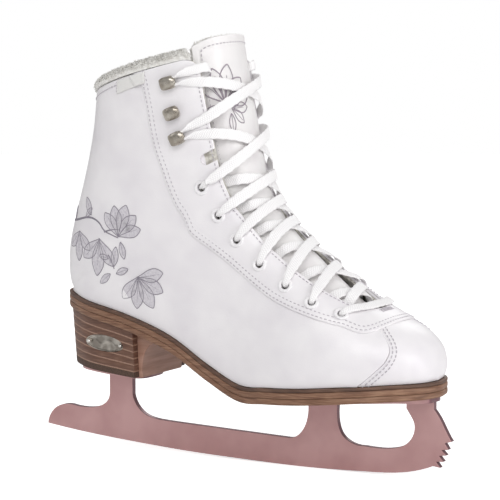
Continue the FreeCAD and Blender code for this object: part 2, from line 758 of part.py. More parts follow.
def eyelet(side, v, t):
    """Enamelled eyelet: front ring, barrel and the rolled ring behind the lining."""
    place, out, _, _ = frame_at(side * t, v, 0)
    lift = 0.3
    ring = Part.makeCylinder(EYELET_FLANGE, EYELET_RIM, place + out * (-FACE + lift), out)
    ring = ring.makeFillet(EYELET_RIM * 0.45, [max(ring.Edges, key=lambda e: (
        e.CenterOfMass - place).dot(out) if e.Length > EYELET_FLANGE * 6 else -99)])
    barrel = Part.makeCylinder(EYELET_BARREL, BACK - FACE + 2 * lift + 0.5,
                               place - out * (BACK + lift + 0.3), out)
    behind = Part.makeCylinder(EYELET_FLANGE - 0.6, 0.5, place - out * (BACK + lift + 0.55), out)
    bore = Part.makeCylinder(EYELET_BORE, 20, place - out * 10, out)
    return ring.fuse([barrel, behind]).cut(bore)


def radial_bore(side, v, t, radius):
    place, out, _, _ = frame_at(side * t, v, 0)
    return Part.makeCylinder(radius, 16, place - out * 8, out)


def hook(side, v, t):
    """Curled lace hook: foot, back bend and domed tongue open towards the throat."""
    place, out, ahead, up = frame_at(side * t, v, FACE - 0.35)
    back = -HOOK_LENGTH / 2
    top = HOOK_SHEET + HOOK_THROAT

    def spot(f, h):
        return place + ahead * f + out * h - up * (HOOK_WIDTH / 2)

    outer = [spot(back + 2.2, 0), spot(back - 0.6, top / 2 + 0.3), spot(back + 2.6, top + 1.0)]
    inner = [spot(back + 2.6, HOOK_SHEET), spot(back + 0.6, top / 2 + 0.5), spot(back + 3.0, top)]
    dome_out = [outer[-1], spot(1.2, top + 1.5), spot(HOOK_LENGTH / 2 + 0.4, top + 0.1)]
    dome_in = [inner[-1], spot(1.2, top + 0.5), spot(HOOK_LENGTH / 2 + 0.1, top - 0.8)]
    toe = spot(HOOK_LENGTH / 2 - 1, 0)
    toe_top = spot(HOOK_LENGTH / 2 - 1, HOOK_SHEET)
    edges = [Part.makeLine(toe, outer[0])]
    edges.append(Part.Arc(*outer).toShape())
    edges.append(Part.Arc(*dome_out).toShape())
    edges.append(Part.makeLine(dome_out[-1], dome_in[-1]))
    edges.append(Part.Arc(*dome_in[::-1]).toShape())
    edges.append(Part.Arc(*inner[::-1]).toShape())
    edges.append(Part.makeLine(inner[0], toe_top))
    edges.append(Part.makeLine(toe_top, toe))
    face = Part.Face(Part.Wire(edges))
    body = face.extrude(up * HOOK_WIDTH)
    bore = Part.makeCylinder(RIVET_RADIUS + FIT, 2.6, place - out * 1.0, out)
    return body.cut(bore)


def hook_rivet(side, v, t):
    place, out, _, _ = frame_at(side * t, v, 0)
    foot = -FACE + 0.35 + HOOK_SHEET
    shank = Part.makeCylinder(RIVET_RADIUS, BACK + foot + 0.8, place - out * (BACK + 0.6), out)
    head = Part.makeCylinder(RIVET_RADIUS + 0.9, 0.3, place + out * (foot + 0.05), out)
    tail = Part.makeCylinder(RIVET_RADIUS + 1.1, 0.6, place - out * (BACK + 1.05), out)
    return shank.fuse([head, tail])


# ---------------------------------------------------------------- laces
def rounded_route(corners, tightest):
    """Samples along straight runs joined by tangent arcs: place, corner position."""
    samples = [(corners[0], 0.0)]
    for k in range(1, len(corners) - 1):
        before = corners[k - 1] - corners[k]
        after = corners[k + 1] - corners[k]
        one = V(before).normalize()
        two = V(after).normalize()
        half = (math.pi - one.getAngle(two)) / 2
        reach = 0.44 * min(before.Length, after.Length)
        if half < 0.02:
            samples.append((corners[k], float(k)))
            continue
        reach = min(reach, 14.0 * math.tan(half))
        start = corners[k] + one * reach
        end = corners[k] + two * reach
        middle = (one + two).normalize()
        radius = reach / math.tan(half)
        centre = corners[k] + middle * (reach / math.sin(half))
        if radius < tightest:
            print("tight bend", round(radius, 2))
        steps = max(3, int(half / 0.11))
        across = (start - centre)
        other = (end - centre)
        turn = across.getAngle(other)
        for n in range(steps + 1):
            f = n / steps
            a = math.sin((1 - f) * turn) / math.sin(turn)
            b = math.sin(f * turn) / math.sin(turn)
            shift = (f - 0.5) * 2 * reach
            run = before.Length if shift < 0 else after.Length
            samples.append((centre + across * a + other * b, k + shift / run))
    samples.append((corners[-1], float(len(corners) - 1)))
    return samples


def even_spacing(samples, step):
    """The same route at evenly spaced points."""
    lengths = [0.0]
    for one, two in zip(samples, samples[1:]):
        lengths.append(lengths[-1] + (two[0] - one[0]).Length)
    count = max(8, int(lengths[-1] / step))
    even = []
    k = 0
    for n in range(count + 1):
        goal = lengths[-1] * n / count
        while k < len(samples) - 2 and lengths[k + 1] < goal:
            k += 1
        f = (goal - lengths[k]) / max(lengths[k + 1] - lengths[k], 1e-9)
        one, two = samples[k], samples[k + 1]
        even.append((one[0] + (two[0] - one[0]) * f, lerp(one[1], two[1], f)))
    return even


def between(values, where):
    """Straight-line value at a fractional index of a list."""
    k = min(int(where), len(values) - 2)
    return values[k] + (values[k + 1] - values[k]) * (where - k)


def ribbon(corners, sides, widths):
    """Flat lace along a route of corners, each with a sideways direction and a width."""
    spread = even_spacing(rounded_route(corners, LACE_THICKNESS / 2), 0.8)
    count = len(spread)
    stations = []
    for k in range(count):
        place, where = spread[k]
        ahead = spread[min(k + 1, count - 1)][0] - spread[max(k - 1, 0)][0]
        ahead.normalize()
        side = between(sides, where)
        side = (side - ahead * side.dot(ahead)).normalize()
        stations.append((place, side, ahead.cross(side), between(widths, where)))

    def point(a, b, c):
        place, side, up, width = stations[int(round(b * (count - 1)))]
        edge = 2 * a - 1
        half = LACE_THICKNESS / 2 * (1 - 0.4 * edge**4)
        return place + side * (edge * width / 2) + up * (half if c else -half)
    return block(point, 7, count, through=False)


def surface_ribbon(stops):
    """Ribbon through (t, v, depth, width) stops, lying flat on the boot."""
    corners = [at(t, v, depth) for t, v, depth, width in stops]
    start = corners[0]
    goal = corners[-1]
    run = (goal - start).normalize()
    sides = [run.cross(normal(t, v)).normalize() for t, v, depth, width in stops]
    return ribbon(corners, sides, [stop[3] for stop in stops])


def leave_eyelet(t0, edge, cross, high):
    """Stops from inside an eyelet, over its ring and the facing, to the crossing."""
    middle = CROSS_HIGH if high else CROSS_LOW + 0.15
    return [(-t0, 0.2, LACE_NECK), (-t0, ABOVE_RING, LACE_NECK),
            (-t0 + 0.052, OFF_RING, 6.4), (-edge * 0.95, OVER, LACE_WIDTH),
            (-edge * 0.67, middle, LACE_WIDTH), (0.0, cross, LACE_WIDTH)]


def start_inside(t0, edge, cross, high):
    """Stops from behind an eyelet, up past the throat's edge, to the crossing."""
    middle = CROSS_HIGH + 0.1 if high else CROSS_LOW + 0.3
    return [(-t0, BACK - 0.6, LACE_NECK), (-t0, UNDER, LACE_NECK), (-t0 + 0.05, UNDER, 6.4),
            (-edge * 0.9, UNDER, LACE_WIDTH), (-edge * 0.6, middle, LACE_WIDTH),
            (0.0, cross, LACE_WIDTH)]


def cross_strand(side, lower, upper, from_inside, high):
    """Lace from one row's eyelet to the next row's eyelet on the other side."""
    v0, t0 = lower
    v1, t1 = upper
    edge0 = table(THROAT_EDGE, v0)
    edge1 = table(THROAT_EDGE, v1)
    cross = CROSS_HIGH if high else CROSS_LOW
    begin = start_inside if from_inside else leave_eyelet
    stops = begin(t0, edge0, cross, high)
    stops += [(edge1 * 0.6, cross + 0.1, LACE_WIDTH), (edge1 * 0.9, UNDER, LACE_WIDTH),
              (t1 - 0.05, UNDER, 6.4), (t1, UNDER, LACE_NECK), (t1, BACK - 0.6, LACE_NECK)]
    route = []
    for t, depth, width in stops:
        v = lerp(v0, v1, (t0 + t) / (t0 + t1))
        route.append((-side * t, v, depth, width))
    return surface_ribbon(route)


def toe_bar():
    """Lowest lace: straight across the outside between the two front eyelets."""
    v0, t0 = EYELETS[-1]
    stops = []
    for t, depth, width in [(-t0, 0.2, LACE_NECK), (-t0, ABOVE_RING, LACE_NECK),
                            (-t0 + 0.052, OFF_RING, 6.4), (-0.08, OVER, LACE_WIDTH),
                            (0.0, OVER - 0.2, LACE_WIDTH), (0.08, OVER, LACE_WIDTH),
                            (t0 - 0.052, OFF_RING, 6.4), (t0, ABOVE_RING, LACE_NECK),
                            (t0, 0.2, LACE_NECK)]:
        stops.append((t, v0 - 0.42 * (1 - (t / t0) ** 2), depth, width))
    return surface_ribbon(stops)


def hook_spot(side, hook_index, ahead_by, up_by, rise):
    """Place beside a hook: ahead towards the throat, up along it, rise off the facing."""
    v, t = HOOKS[hook_index]
    place, out, ahead, up = frame_at(side * t, v, FACE)
    return place + ahead * ahead_by + up * up_by + out * rise, out, up


LOOP_RISE = SOFT_GAP + HOOK_SHEET + 0.6 + LACE_EDGEWISE / 2
LOOP_HALF = 2.1               # half the width of the bight round a hook


def hook_entry(side, hook_index, below):
    """Corners, sideways directions and widths from the hook's mouth to its back bend."""
    sign = -1 if below else 1
    corners = []
    sides = []
    widths = []
    for ahead_by, up_by, rise, width, on_edge in (
            (10.0, 2.9, 1.6, 5.6, 0.35), (4.5, LOOP_HALF, LOOP_RISE, LACE_EDGEWISE, 1.0),
            (-2.4, LOOP_HALF, LOOP_RISE, LACE_EDGEWISE, 1.0), (-2.9, 0.15, LOOP_RISE, LACE_EDGEWISE, 1.0)):
        place, out, up = hook_spot(side, hook_index, ahead_by, sign * up_by, rise)
        corners.append(place)
        flat = up * (1 - on_edge)
        sides.append((out * on_edge + flat).normalize())
        widths.append(width)
    return corners, sides, widths


def hook_strand(side, goal_hook, high, first_hook=None):
    """Lace from the top eyelet, or from a hook on this side, up to a hook on the other."""
    far = -side
    goal_v, goal_t = HOOKS[goal_hook]
    v0, t0 = EYELETS[0] if first_hook is None else HOOKS[first_hook]
    cross = CROSS_HIGH if high else CROSS_LOW
    edge0 = table(THROAT_EDGE, v0)
    edge1 = table(THROAT_EDGE, goal_v)
    if first_hook is None:
        stops = leave_eyelet(t0, edge0, cross, high)
    else:
        stops = [(-edge0 * 1.04, OVER, 6.6), (-edge0 * 0.9, OVER - 0.1, LACE_WIDTH),
                 (-edge0 * 0.5, cross, LACE_WIDTH), (0.0, cross, LACE_WIDTH)]
    stops += [(edge1 * 0.5, cross, LACE_WIDTH), (edge1 * 0.9, OVER - 0.1, 6.6),
              (edge1 * 1.04, OVER, 6.6)]
    corners = []
    sides = []
    widths = []
    run = (at(far * goal_t, goal_v, OVER) - at(side * t0, v0, OVER)).normalize()
    for t, depth, width in stops:
        v = lerp(v0, goal_v, (t0 + t) / (t0 + goal_t))
        signed = -side * t
        corners.append(at(signed, v, depth))
        flat = run.cross(normal(signed, v)).normalize()
        if flat.z < 0:
            flat = flat * -1
        sides.append(flat)
        widths.append(width)
    if first_hook is not None:
        spots, flats, sizes = hook_entry(side, first_hook, False)
        corners = spots[::-1] + corners
        sides = flats[::-1] + sides
        widths = sizes[::-1] + widths
    spots, flats, sizes = hook_entry(far, goal_hook, True)
    return ribbon(corners + spots, sides + flats, widths + sizes)


TUCKED = UNDER - 0.5           # depth of the lace's free ends, behind the lining


def lace_tail(side):
    """Free end: from the top hook back to the throat, then tucked in behind its edge."""
    corners, sides, widths = [part[::-1] for part in hook_entry(side, 0, False)]
    for t, v, depth, width in ((0.294, 20.60, OVER, 6.4), (0.245, 20.60, OVER + 0.3, 6.0),
                               (0.219, 20.52, 1.9, 5.4)):
        place, _, _, up = frame_at(side * t, v, depth)
        corners.append(place)
        sides.append(up)
        widths.append(width)
    tucked = [(0.235, 20.42, TUCKED - 0.95, 5.0), (0.274, 20.25, TUCKED, 4.4),
              (0.304, 19.95, TUCKED, 3.6), (0.321, 19.50, TUCKED, 3.0)]
    for t, v, depth, width in tucked:
        place, out, _, _ = frame_at(side * t, v, depth)
        flat = out.cross(place - corners[-1]).normalize()
        corners.append(place)
        sides.append(flat if flat.dot(sides[-1]) > 0 else flat * -1)
        widths.append(width)
    return ribbon(corners, sides, widths)


def lace_tip(side):
    """Plastic tip on the tucked end of the lace."""
    top = at(side * 0.322, 19.46, TUCKED)
    low = at(side * 0.334, 18.72, TUCKED)
    return Part.makeCylinder(0.95, (low - top).Length, top, low - top)


def drilled(shape, tools):
    for tool in tools:
        shape = shape.cut(tool)
    return shape


def stacked(solids):
    return Part.makeCompound(solids)


def flex_notch(side):
    """Slot in the throat edge of leather and facing, at the bend of the ankle."""
    place, out, ahead, up = frame_at(side * 0.276, 16.89, 0)
    width = 7.0
    reach = 9.0
    start = place - ahead * (reach - width / 2) * 0.5 - out * 2 * LEATHER
    height = 2 * LEATHER + FACING + 4
    round_end = Part.makeCylinder(width / 2, height, start, out)
    corner = start - up * (width / 2)
    path = [corner, corner + up * width, corner + up * width + ahead * 20, corner + ahead * 20]
    face = Part.Face(Part.makePolygon(path + path[:1]))
    return round_end.fuse(face.extrude(out * height))


def build_upper():
    bores = {}
    for side in (-1, 1):
        holes = [radial_bore(side, v, t, EYELET_BARREL + FIT) for v, t in EYELETS]
        holes += [radial_bore(side, v, t, RIVET_RADIUS + FIT) for v, t in HOOKS]
        bores[side] = holes
    save("vamp", vamp_layer(outside, leather_back, 0.03, STEP))
    save("vamp_lining", vamp_layer(vamp_lining_face, vamp_lining_back, 0.35, STEP))
    save("toe_puff", toe_puff())
    for side, name in ((-1, "outer"), (1, "inner")):
        leather = quarter_layer(side, outside, leather_back)
        lining = quarter_layer(side, lining_depth, lining_back)
        save("quarter_" + name, drilled(leather, bores[side] + [flex_notch(side)]))
        save("lining_" + name, drilled(lining, bores[side]))
    facing = drilled(eyestay(), bores[-1] + bores[1] + [flex_notch(-1), flex_notch(1)])
    save("eyestay", facing)
    save("heel_counter", heel_counter())
    save("ankle_foam", ankle_foam())
    save("collar_cuff", collar_cuff())
    save("collar_label", collar_label())


def build_tongue():
    start = TONGUE_FACING + GAP
    save("tongue_facing", tongue_layer(0, TONGUE_FACING, 0))
    save("tongue_foam", tongue_layer(start, TONGUE_FOAM, 0.012))
    save("tongue_lining", tongue_layer(start + TONGUE_FOAM + GAP, TONGUE_LINING, 0.0))


def build_hardware():
    for side, name in ((-1, "outer"), (1, "inner")):
        save("eyelets_" + name, stacked([eyelet(side, v, t) for v, t in EYELETS]))
        save("hooks_" + name, stacked([hook(side, v, t) for v, t in HOOKS]))
        save("hook_rivets_" + name, stacked([hook_rivet(side, v, t) for v, t in HOOKS]))


def build_sole():
    inside = -(LEATHER + STIFFENER + LINING + 3 * GAP + 1.2)
    board_low = FILLER + GAP
    shank = Part.makeBox(110 * LONG, SHANK_WIDTH, 200, V(-80 * LONG, -SHANK_WIDTH / 2, 0))
    slot = Part.makeBox(111 * LONG, SHANK_WIDTH + 1, 200,
                        V(-80.5 * LONG, -SHANK_WIDTH / 2 - 0.5, 0))
    save("bottom_filler", sole_plate_layer(inside, 0, FILLER).cut(slot))
    save("shank", side_slab(0.1, 0.1 + SHANK_THICKNESS).common(shank))
    save("insole_board", sole_plate_layer(inside, board_low, board_low + INSOLE_BOARD))
    bed = board_low + INSOLE_BOARD + GAP
    save("footbed", sole_plate_layer(inside - 0.8, bed, bed + FOOTBED))
    heel_holes = screw_holes(HEEL_SCREWS, heel_seat)
    sole_holes = screw_holes(SOLE_SCREWS, sole_seat)
    top = -2 * GAP
    for name, thickness in (("welt", WELT), ("midsole", MIDSOLE), ("outsole", OUTSOLE)):
        layer = sole_plate_layer(WELT_MARGIN, top - thickness, top)
        save(name, drilled(layer, sole_holes))
        top -= thickness + GAP
    lifts = heel_lift_solids(heel_block())
    pocket = badge_prism(FIT, 40)
    lifts = [drilled(lift, heel_holes + [pocket] + badge_pins(FIT)) for lift in lifts]
    save("heel_top_piece", lifts[0])
    save("heel_lifts", stacked(lifts[1:]))
    save("heel_breast", heel_breast())
    save("heel_plate", drilled(heel_plate_blank(), heel_holes))
    save("sole_plate", drilled(sole_plate_blank(), sole_holes))
    save("heel_screws", stacked(screw_solids(HEEL_SCREWS, heel_seat)))
    save("sole_screws", stacked(screw_solids(SOLE_SCREWS, sole_seat)))


def badge_face_y():
    """Y of the badge's seat, where the heel's outer side is flat enough for it."""
    return -26.2 * WIDE


def badge_prism(clearance, depth):
    """Oval prism that reaches out of the heel's outer side from the badge's seat."""
    x, z = BADGE_CENTRE
    centre = V(x * LONG, badge_face_y() + clearance, z)
    oval = Part.Ellipse(centre, BADGE_LENGTH / 2 + clearance, BADGE_HEIGHT / 2 + clearance)
    face = Part.Face(Part.Wire([oval.toShape()]))
    face.rotate(centre, V(1, 0, 0), 90)
    face.rotate(centre, V(0, 1, 0), BADGE_LEAN)
    return face.extrude(V(0, -depth, 0))


def badge_pins(grow):
    """Two pins with domed heads; grow widens them into their holes."""
    x, z = BADGE_CENTRE
    lean = math.radians(BADGE_LEAN)
    reach = BADGE_LENGTH / 2 - 2.8
    pins = []
    for side in (-1, 1):
        place = V(x * LONG + side * reach * math.cos(lean), badge_face_y() + PIN_DEPTH,
                  z - side * reach * math.sin(lean))
        length = PIN_DEPTH + BADGE_THICKNESS + PIN_HEAD_RISE
        shank = Part.makeCylinder(PIN_RADIUS + grow, length, place + V(0, grow, 0), V(0, -1, 0))
        if grow:
            pins.append(shank)
            continue
        head = Part.makeSphere(PIN_RADIUS + 0.5, place - V(0, length + 0.2, 0))
        below = Part.makeBox(8, 8, 8, place - V(4, length - PIN_HEAD_RISE + FIT, 4))
        pins.append(shank.fuse(head.cut(below)))
    return pins


def build_laces():
    rows = len(EYELETS)
    over = []
    under = []
    for k in range(rows - 1, 0, -1):
        inside = k == rows - 1
        over.append(cross_strand(-1, EYELETS[k], EYELETS[k - 1], inside, True))
        under.append(cross_strand(1, EYELETS[k], EYELETS[k - 1], inside, False))
    save("lace_toe_bar", toe_bar())
    save("lace_rows_over", stacked(over))
    save("lace_rows_under", stacked(under))
    runs = [hook_strand(-1, 2, True), hook_strand(1, 2, False),
            hook_strand(-1, 0, True, 2), hook_strand(1, 0, False, 2)]
    save("lace_hook_runs", stacked(runs))
    save("lace_tails", stacked([lace_tail(-1), lace_tail(1)]))
    save("lace_tips", stacked([lace_tip(-1), lace_tip(1)]))


def main():
    os.makedirs("parts", exist_ok=True)
    build_upper()
    build_tongue()
    build_hardware()
    build_sole()
    save("blade", blade_runner())
    save("heel_badge", drilled(badge_prism(0, BADGE_THICKNESS), badge_pins(FIT)))
    save("badge_pins", stacked(badge_pins(0)))
    build_laces()


if __name__ == "__main__":
    main()
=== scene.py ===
"""Right figure skate: the visible model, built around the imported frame.

Frame: metres, +X towards the toe, +Y towards the inner side, +Z up, as in the frame.
Shapes are worked out in millimetres and turned to metres when a mesh is made. The
boot's pieces lie on the skin p(t, v) of a last: v counts girth sections from the toe
(0) to above the collar (22), and t runs round a section as a share of a half turn,
0 in front, -1 and +1 behind, negative on the outer side.
"""

import logging
import math
from dataclasses import dataclass, field
from enum import Enum
from typing import Callable, Optional, Sequence

import bpy
import numpy as np
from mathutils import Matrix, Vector

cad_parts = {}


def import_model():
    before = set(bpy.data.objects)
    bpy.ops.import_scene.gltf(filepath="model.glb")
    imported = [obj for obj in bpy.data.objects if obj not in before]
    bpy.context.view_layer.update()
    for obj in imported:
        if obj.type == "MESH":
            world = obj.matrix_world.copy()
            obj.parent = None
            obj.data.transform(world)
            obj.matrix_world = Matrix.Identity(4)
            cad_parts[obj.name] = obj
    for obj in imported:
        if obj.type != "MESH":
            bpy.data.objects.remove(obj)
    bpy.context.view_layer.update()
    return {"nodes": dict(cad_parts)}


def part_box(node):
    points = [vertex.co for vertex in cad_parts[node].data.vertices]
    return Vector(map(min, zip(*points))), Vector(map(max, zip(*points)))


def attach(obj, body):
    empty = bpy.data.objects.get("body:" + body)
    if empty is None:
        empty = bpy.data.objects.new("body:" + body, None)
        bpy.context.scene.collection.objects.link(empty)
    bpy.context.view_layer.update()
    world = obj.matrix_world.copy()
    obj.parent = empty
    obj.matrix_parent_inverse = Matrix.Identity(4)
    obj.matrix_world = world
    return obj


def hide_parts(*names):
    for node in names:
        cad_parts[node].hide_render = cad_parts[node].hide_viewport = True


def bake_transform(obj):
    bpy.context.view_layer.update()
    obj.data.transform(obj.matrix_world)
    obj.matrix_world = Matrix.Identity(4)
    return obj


LOG = logging.getLogger("skate")
MM = 0.001
PI = math.pi
Array = np.ndarray
Pairs = Sequence[tuple[float, float]]
DepthRule = Callable[[Array, Array], Array]
Node = bpy.types.Node
Socket = bpy.types.NodeSocket
Tree = bpy.types.NodeTree
Object = bpy.types.Object


class Body(Enum):
    """The frame's two bodies."""

    BOOT = "boot"
    TONGUE = "tongue"


class Side(Enum):
    """The two sides of the boot, by the sign of t and Y."""

    OUTER = -1
    INNER = 1


# ------------------------------------------------------------------ sizes, millimetres
SOLE_LENGTH = 255.6
GAP = 0.2
SOFT_GAP = 0.35
LEATHER = 1.5
FACING = 1.0
STIFFENER = 1.4
LINING = 1.8
CUFF_HEIGHT = 7.0
LABEL = 0.5
TONGUE_FACING = 1.2
TONGUE_FOAM = 4.5
TONGUE_LINING = 2.0
FILLER = 2.2
INSOLE_BOARD = 2.2
FOOTBED = 4.0
WELT = 2.0
MIDSOLE = 3.6
OUTSOLE = 3.6
WELT_MARGIN = 2.4
HEEL_LIFTS = 7
LIFT_EDGE = 0.25
HEEL_FRONT = -60.0
HEEL_TOP_SETBACK = 1.0
HEEL_TAPER = 3.2
HEEL_WIDE_LOW = 40  # heights between which the heel widens
HEEL_WIDE_HIGH = 104
HEEL_REACH = 92.0
HEEL_BASE_HEIGHT = 50.6
HEEL_BASE_RISE = 4.2
HEEL_RUN = 55.0
BREAST_THICKNESS = 2.4
BREAST_FLARE = 13.0
BREAST_HALF_LOW = 24.6
BREAST_HALF_HIGH = 27.0
EYELET_BORE = 2.4
EYELET_BARREL = 3.1
EYELET_FLANGE = 4.6
EYELET_RIM = 0.8
HOOK_WIDTH = 8.0
HOOK_SHEET = 1.0
HOOK_LENGTH = 10.0
HOOK_THROAT = 3.9
RIVET_RADIUS = 1.5
FIT = 0.15
LACE_WIDTH = 7.0
LACE_THICKNESS = 1.3
LACE_NECK = 3.4
LACE_EDGEWISE = 2.6
LACE_SPREAD = 6.4
LACE_IN_BORE = 0.2
PAST_RING = 0.052  # in t
PAST_BORE = 0.05  # in t
SOLE_STACK = WELT + MIDSOLE + OUTSOLE
FACE = -FACING - GAP
BACK = LEATHER + GAP + LINING
BEHIND_BORE = BACK - 0.6
EYELET_TOP = FACE - 0.3 - EYELET_RIM
OVER = FACE - SOFT_GAP - LACE_THICKNESS / 2
ABOVE_RING = EYELET_TOP - SOFT_GAP - LACE_THICKNESS / 2
OFF_RING = ABOVE_RING - 0.8
UNDER = BACK + 1.0 + SOFT_GAP + LACE_THICKNESS / 2
CROSS_LOW = -0.1
CROSS_HIGH = CROSS_LOW - LACE_THICKNESS - 0.85
TONGUE_LOW = UNDER + LACE_THICKNESS / 2 + SOFT_GAP + 0.4
TONGUE_CREST = 3.0
TONGUE_START = 4.95  # in v
TUCKED = UNDER - 0.5
LOOP_RISE = SOFT_GAP + HOOK_SHEET + 0.6 + LACE_EDGEWISE / 2
LOOP_HALF = 2.1
REAR_RADIUS = 35.0
SHARP_ANGLE = 42.0  # degrees
AS_DRAWN = 0.012  # share of the length under which the last keeps its own size

# Girth sections of the last: front point (X, Z), rear or sole point (X, Z), sweep in
# degrees, outer and inner half width, squareness in front and behind.
STATIONS = (
    ((134.0, 60.6), (134.0, 60.6), 100, 0.0, 0.0, 0.03, 0.03),
    ((134.4, 67.0), (131.0, 60.6), 100, 13.0, 14.5, 0.03, 0.03),
    ((133.0, 75.0), (124.5, 60.5), 100, 22.0, 24.0, 0.03, 0.03),
    ((128.5, 83.0), (114.5, 60.2), 100, 30.5, 32.5, 0.03, 0.03),
    ((118.5, 91.0), (101.0, 59.2), 101, 37.5, 39.0, 0.03, 0.03),
    ((102.5, 98.3), (83.0, 57.8), 102, 43.0, 43.5, 0.03, 0.03),
    ((85.6, 106.6), (62.0, 56.0), 103, 45.5, 46.4, 0.035, 0.03),
    ((68.8, 118.5), (41.0, 54.8), 104, 44.5, 46.0, 0.04, 0.02),
    ((52.6, 131.7), (20.0, 54.4), 106, 40.5, 43.1, 0.05, 0.02),
    ((39.0, 143.6), (-4.0, 64.5), 109, 37.0, 39.2, 0.06, 0.02),
    ((30.4, 152.1), (-32.0, 80.0), 113, 35.5, 37.3, 0.07, 0.02),
    ((24.5, 160.3), (-64.0, 90.8), 119, 35.0, 37.2, 0.07, 0.02),
    ((20.4, 167.0), (-92.0, 96.5), 128, 35.0, 37.4, 0.07, 0.01),
    ((18.2, 172.4), (-108.0, 99.6), 145, 35.0, 37.5, 0.07, 0.0),
    ((16.6, 177.3), (-117.5, 101.2), 162, 35.0, 37.5, 0.07, 0.0),
    ((15.2, 182.3), (-121.6, 103.0), 180, 35.0, 38.0, 0.07, 0.0),
    ((13.4, 190.4), (-123.4, 112.5), 180, 35.0, 38.0, 0.07, 0.0),
    ((10.7, 200.7), (-122.6, 129.0), 180, 35.0, 38.5, 0.07, 0.0),
    ((7.8, 213.0), (-117.3, 150.0), 180, 35.0, 38.5, 0.07, 0.0),
    ((4.8, 226.0), (-110.0, 174.0), 180, 35.5, 39.0, 0.07, 0.0),
    ((1.7, 239.5), (-103.5, 201.0), 180, 36.5, 39.9, 0.07, 0.0),
    ((-1.2, 253.0), (-99.8, 230.0), 180, 37.5, 40.7, 0.065, 0.0),
    ((-3.2, 266.0), (-98.6, 250.0), 180, 38.0, 41.0, 0.06, 0.0),
)
HEEL_STATION = 15
THROAT_EDGE: Pairs = ((6.0, 0.124), (7.2, 0.169), (9.3, 0.212), (10.85, 0.220), (13.1, 0.235),
                      (14.95, 0.246), (17.35, 0.259), (18.9, 0.271), (21.5, 0.269))
FACING_EDGE: Pairs = ((5.6, 0.259), (6.7, 0.297), (8.5, 0.341), (11.0, 0.372), (14.1, 0.391),
                      (16.5, 0.421), (18.05, 0.465), (19.6, 0.497), (20.45, 0.515), (21.2, 0.567))
TOE_SEAM: Pairs = ((0.0, 5.32), (0.06, 5.32), (0.105, 5.2), (0.188, 4.58), (0.269, 3.94),
                   (0.32, 3.72), (0.388, 3.65), (0.443, 3.74), (0.5, 3.9), (0.57, 4.16))
TONGUE_HALF: Pairs = ((4.95, 0.08), (5.45, 0.115), (6.5, 0.18), (8.0, 0.235), (10.0, 0.265),
                      (13.0, 0.285), (17.0, 0.30), (20.0, 0.305), (22.0, 0.30))
TOE_RIM = 0.561
THROAT_BASE = 5.35
FACING_FRONT = 4.5
EYELETS: Pairs = ((15.5, 0.318), (12.04, 0.289), (10.34, 0.293), (9.0, 0.284), (7.87, 0.264),
                  (6.87, 0.243), (5.92, 0.207))
HOOKS: Pairs = ((20.4, 0.393), (19.35, 0.386), (18.34, 0.371))
STEP = 0.007
NOTCH = (16.89, 0.276)
NOTCH_WIDTH = 7.0
NOTCH_REACH = 9.0
NOTCH_OPEN = 20.0


# ------------------------------------------------------------------ numbers
def cubic(values: Array, where: Array) -> Array:
    """Catmull-Rom value at fractional indices of an evenly spaced list.

    Args:
        values: The list.
        where: Fractional indices, any shape.

    Returns:
        Interpolated values, shaped as where.
    """
    last = len(values) - 1
    i = np.clip(np.floor(where).astype(int), 0, last - 1)
    f = where - i
    ends = np.concatenate([[2 * values[0] - values[1]], values, [2 * values[-1] - values[-2]]])
    p0, p1, p2, p3 = ends[i], ends[i + 1], ends[i + 2], ends[i + 3]
    m1 = (p2 - p0) / 2
    m2 = (p3 - p1) / 2
    rise = (2 * f**3 - 3 * f**2 + 1) * p1 + (3 * f**2 - 2 * f**3) * p2
    return rise + (f**3 - 2 * f**2 + f) * m1 + (f**3 - f**2) * m2


def table(pairs: Pairs, where: Array) -> Array:
    """Smooth value from (position, value) pairs, by cubic Hermite spans.

    Args:
        pairs: Positions in rising order, each with its value.
        where: Positions, any shape, held inside the pairs' range.

    Returns:
        Values, shaped as where.
    """
    x = np.array([p[0] for p in pairs])
    y = np.array([p[1] for p in pairs])
    where = np.clip(np.asarray(where, float), x[0], x[-1])
    lo = np.maximum(np.arange(len(x)) - 1, 0)
    hi = np.minimum(np.arange(len(x)) + 1, len(x) - 1)
    slope = (y[hi] - y[lo]) / (x[hi] - x[lo])
    k = np.clip(np.searchsorted(x, where, side="right") - 1, 0, len(x) - 2)
    h = x[k + 1] - x[k]
    f = (where - x[k]) / h
    rise = (2 * f**3 - 3 * f**2 + 1) * y[k] + (3 * f**2 - 2 * f**3) * y[k + 1]
    return rise + (f**3 - 2 * f**2 + f) * h * slope[k] + (f**3 - f**2) * h * slope[k + 1]


def lerp(a: Array, b: Array, f: Array) -> Array:
    """Value a share f of the way from a to b."""
    return a + (b - a) * f


def smooth(f: Array) -> Array:
    """Ease from 0 to 1, flat at both ends."""
    f = np.clip(f, 0.0, 1.0)
    return f * f * (3 - 2 * f)


def unit(v: Array) -> Array:
    """Vectors scaled to length 1 along the last axis."""
    return v / np.maximum(np.linalg.norm(v, axis=-1, keepdims=True), 1e-12)


def dot(a: Array, b: Array) -> Array:
    """Dot products along the last axis, which is kept."""
    return np.sum(a * b, axis=-1, keepdims=True)


def spread(count: int, near: Sequence[float] = (0.0, 0.0018, 0.0045, 0.009, 0.015)) -> Array:
    """Samples from 0 to 1: close together at both ends, even between."""
    near_end = np.array(near)
    middle = np.linspace(near[-1] * 1.6, 1 - near[-1] * 1.6, count)
    return np.concatenate([near_end, middle, 1 - near_end[::-1]])


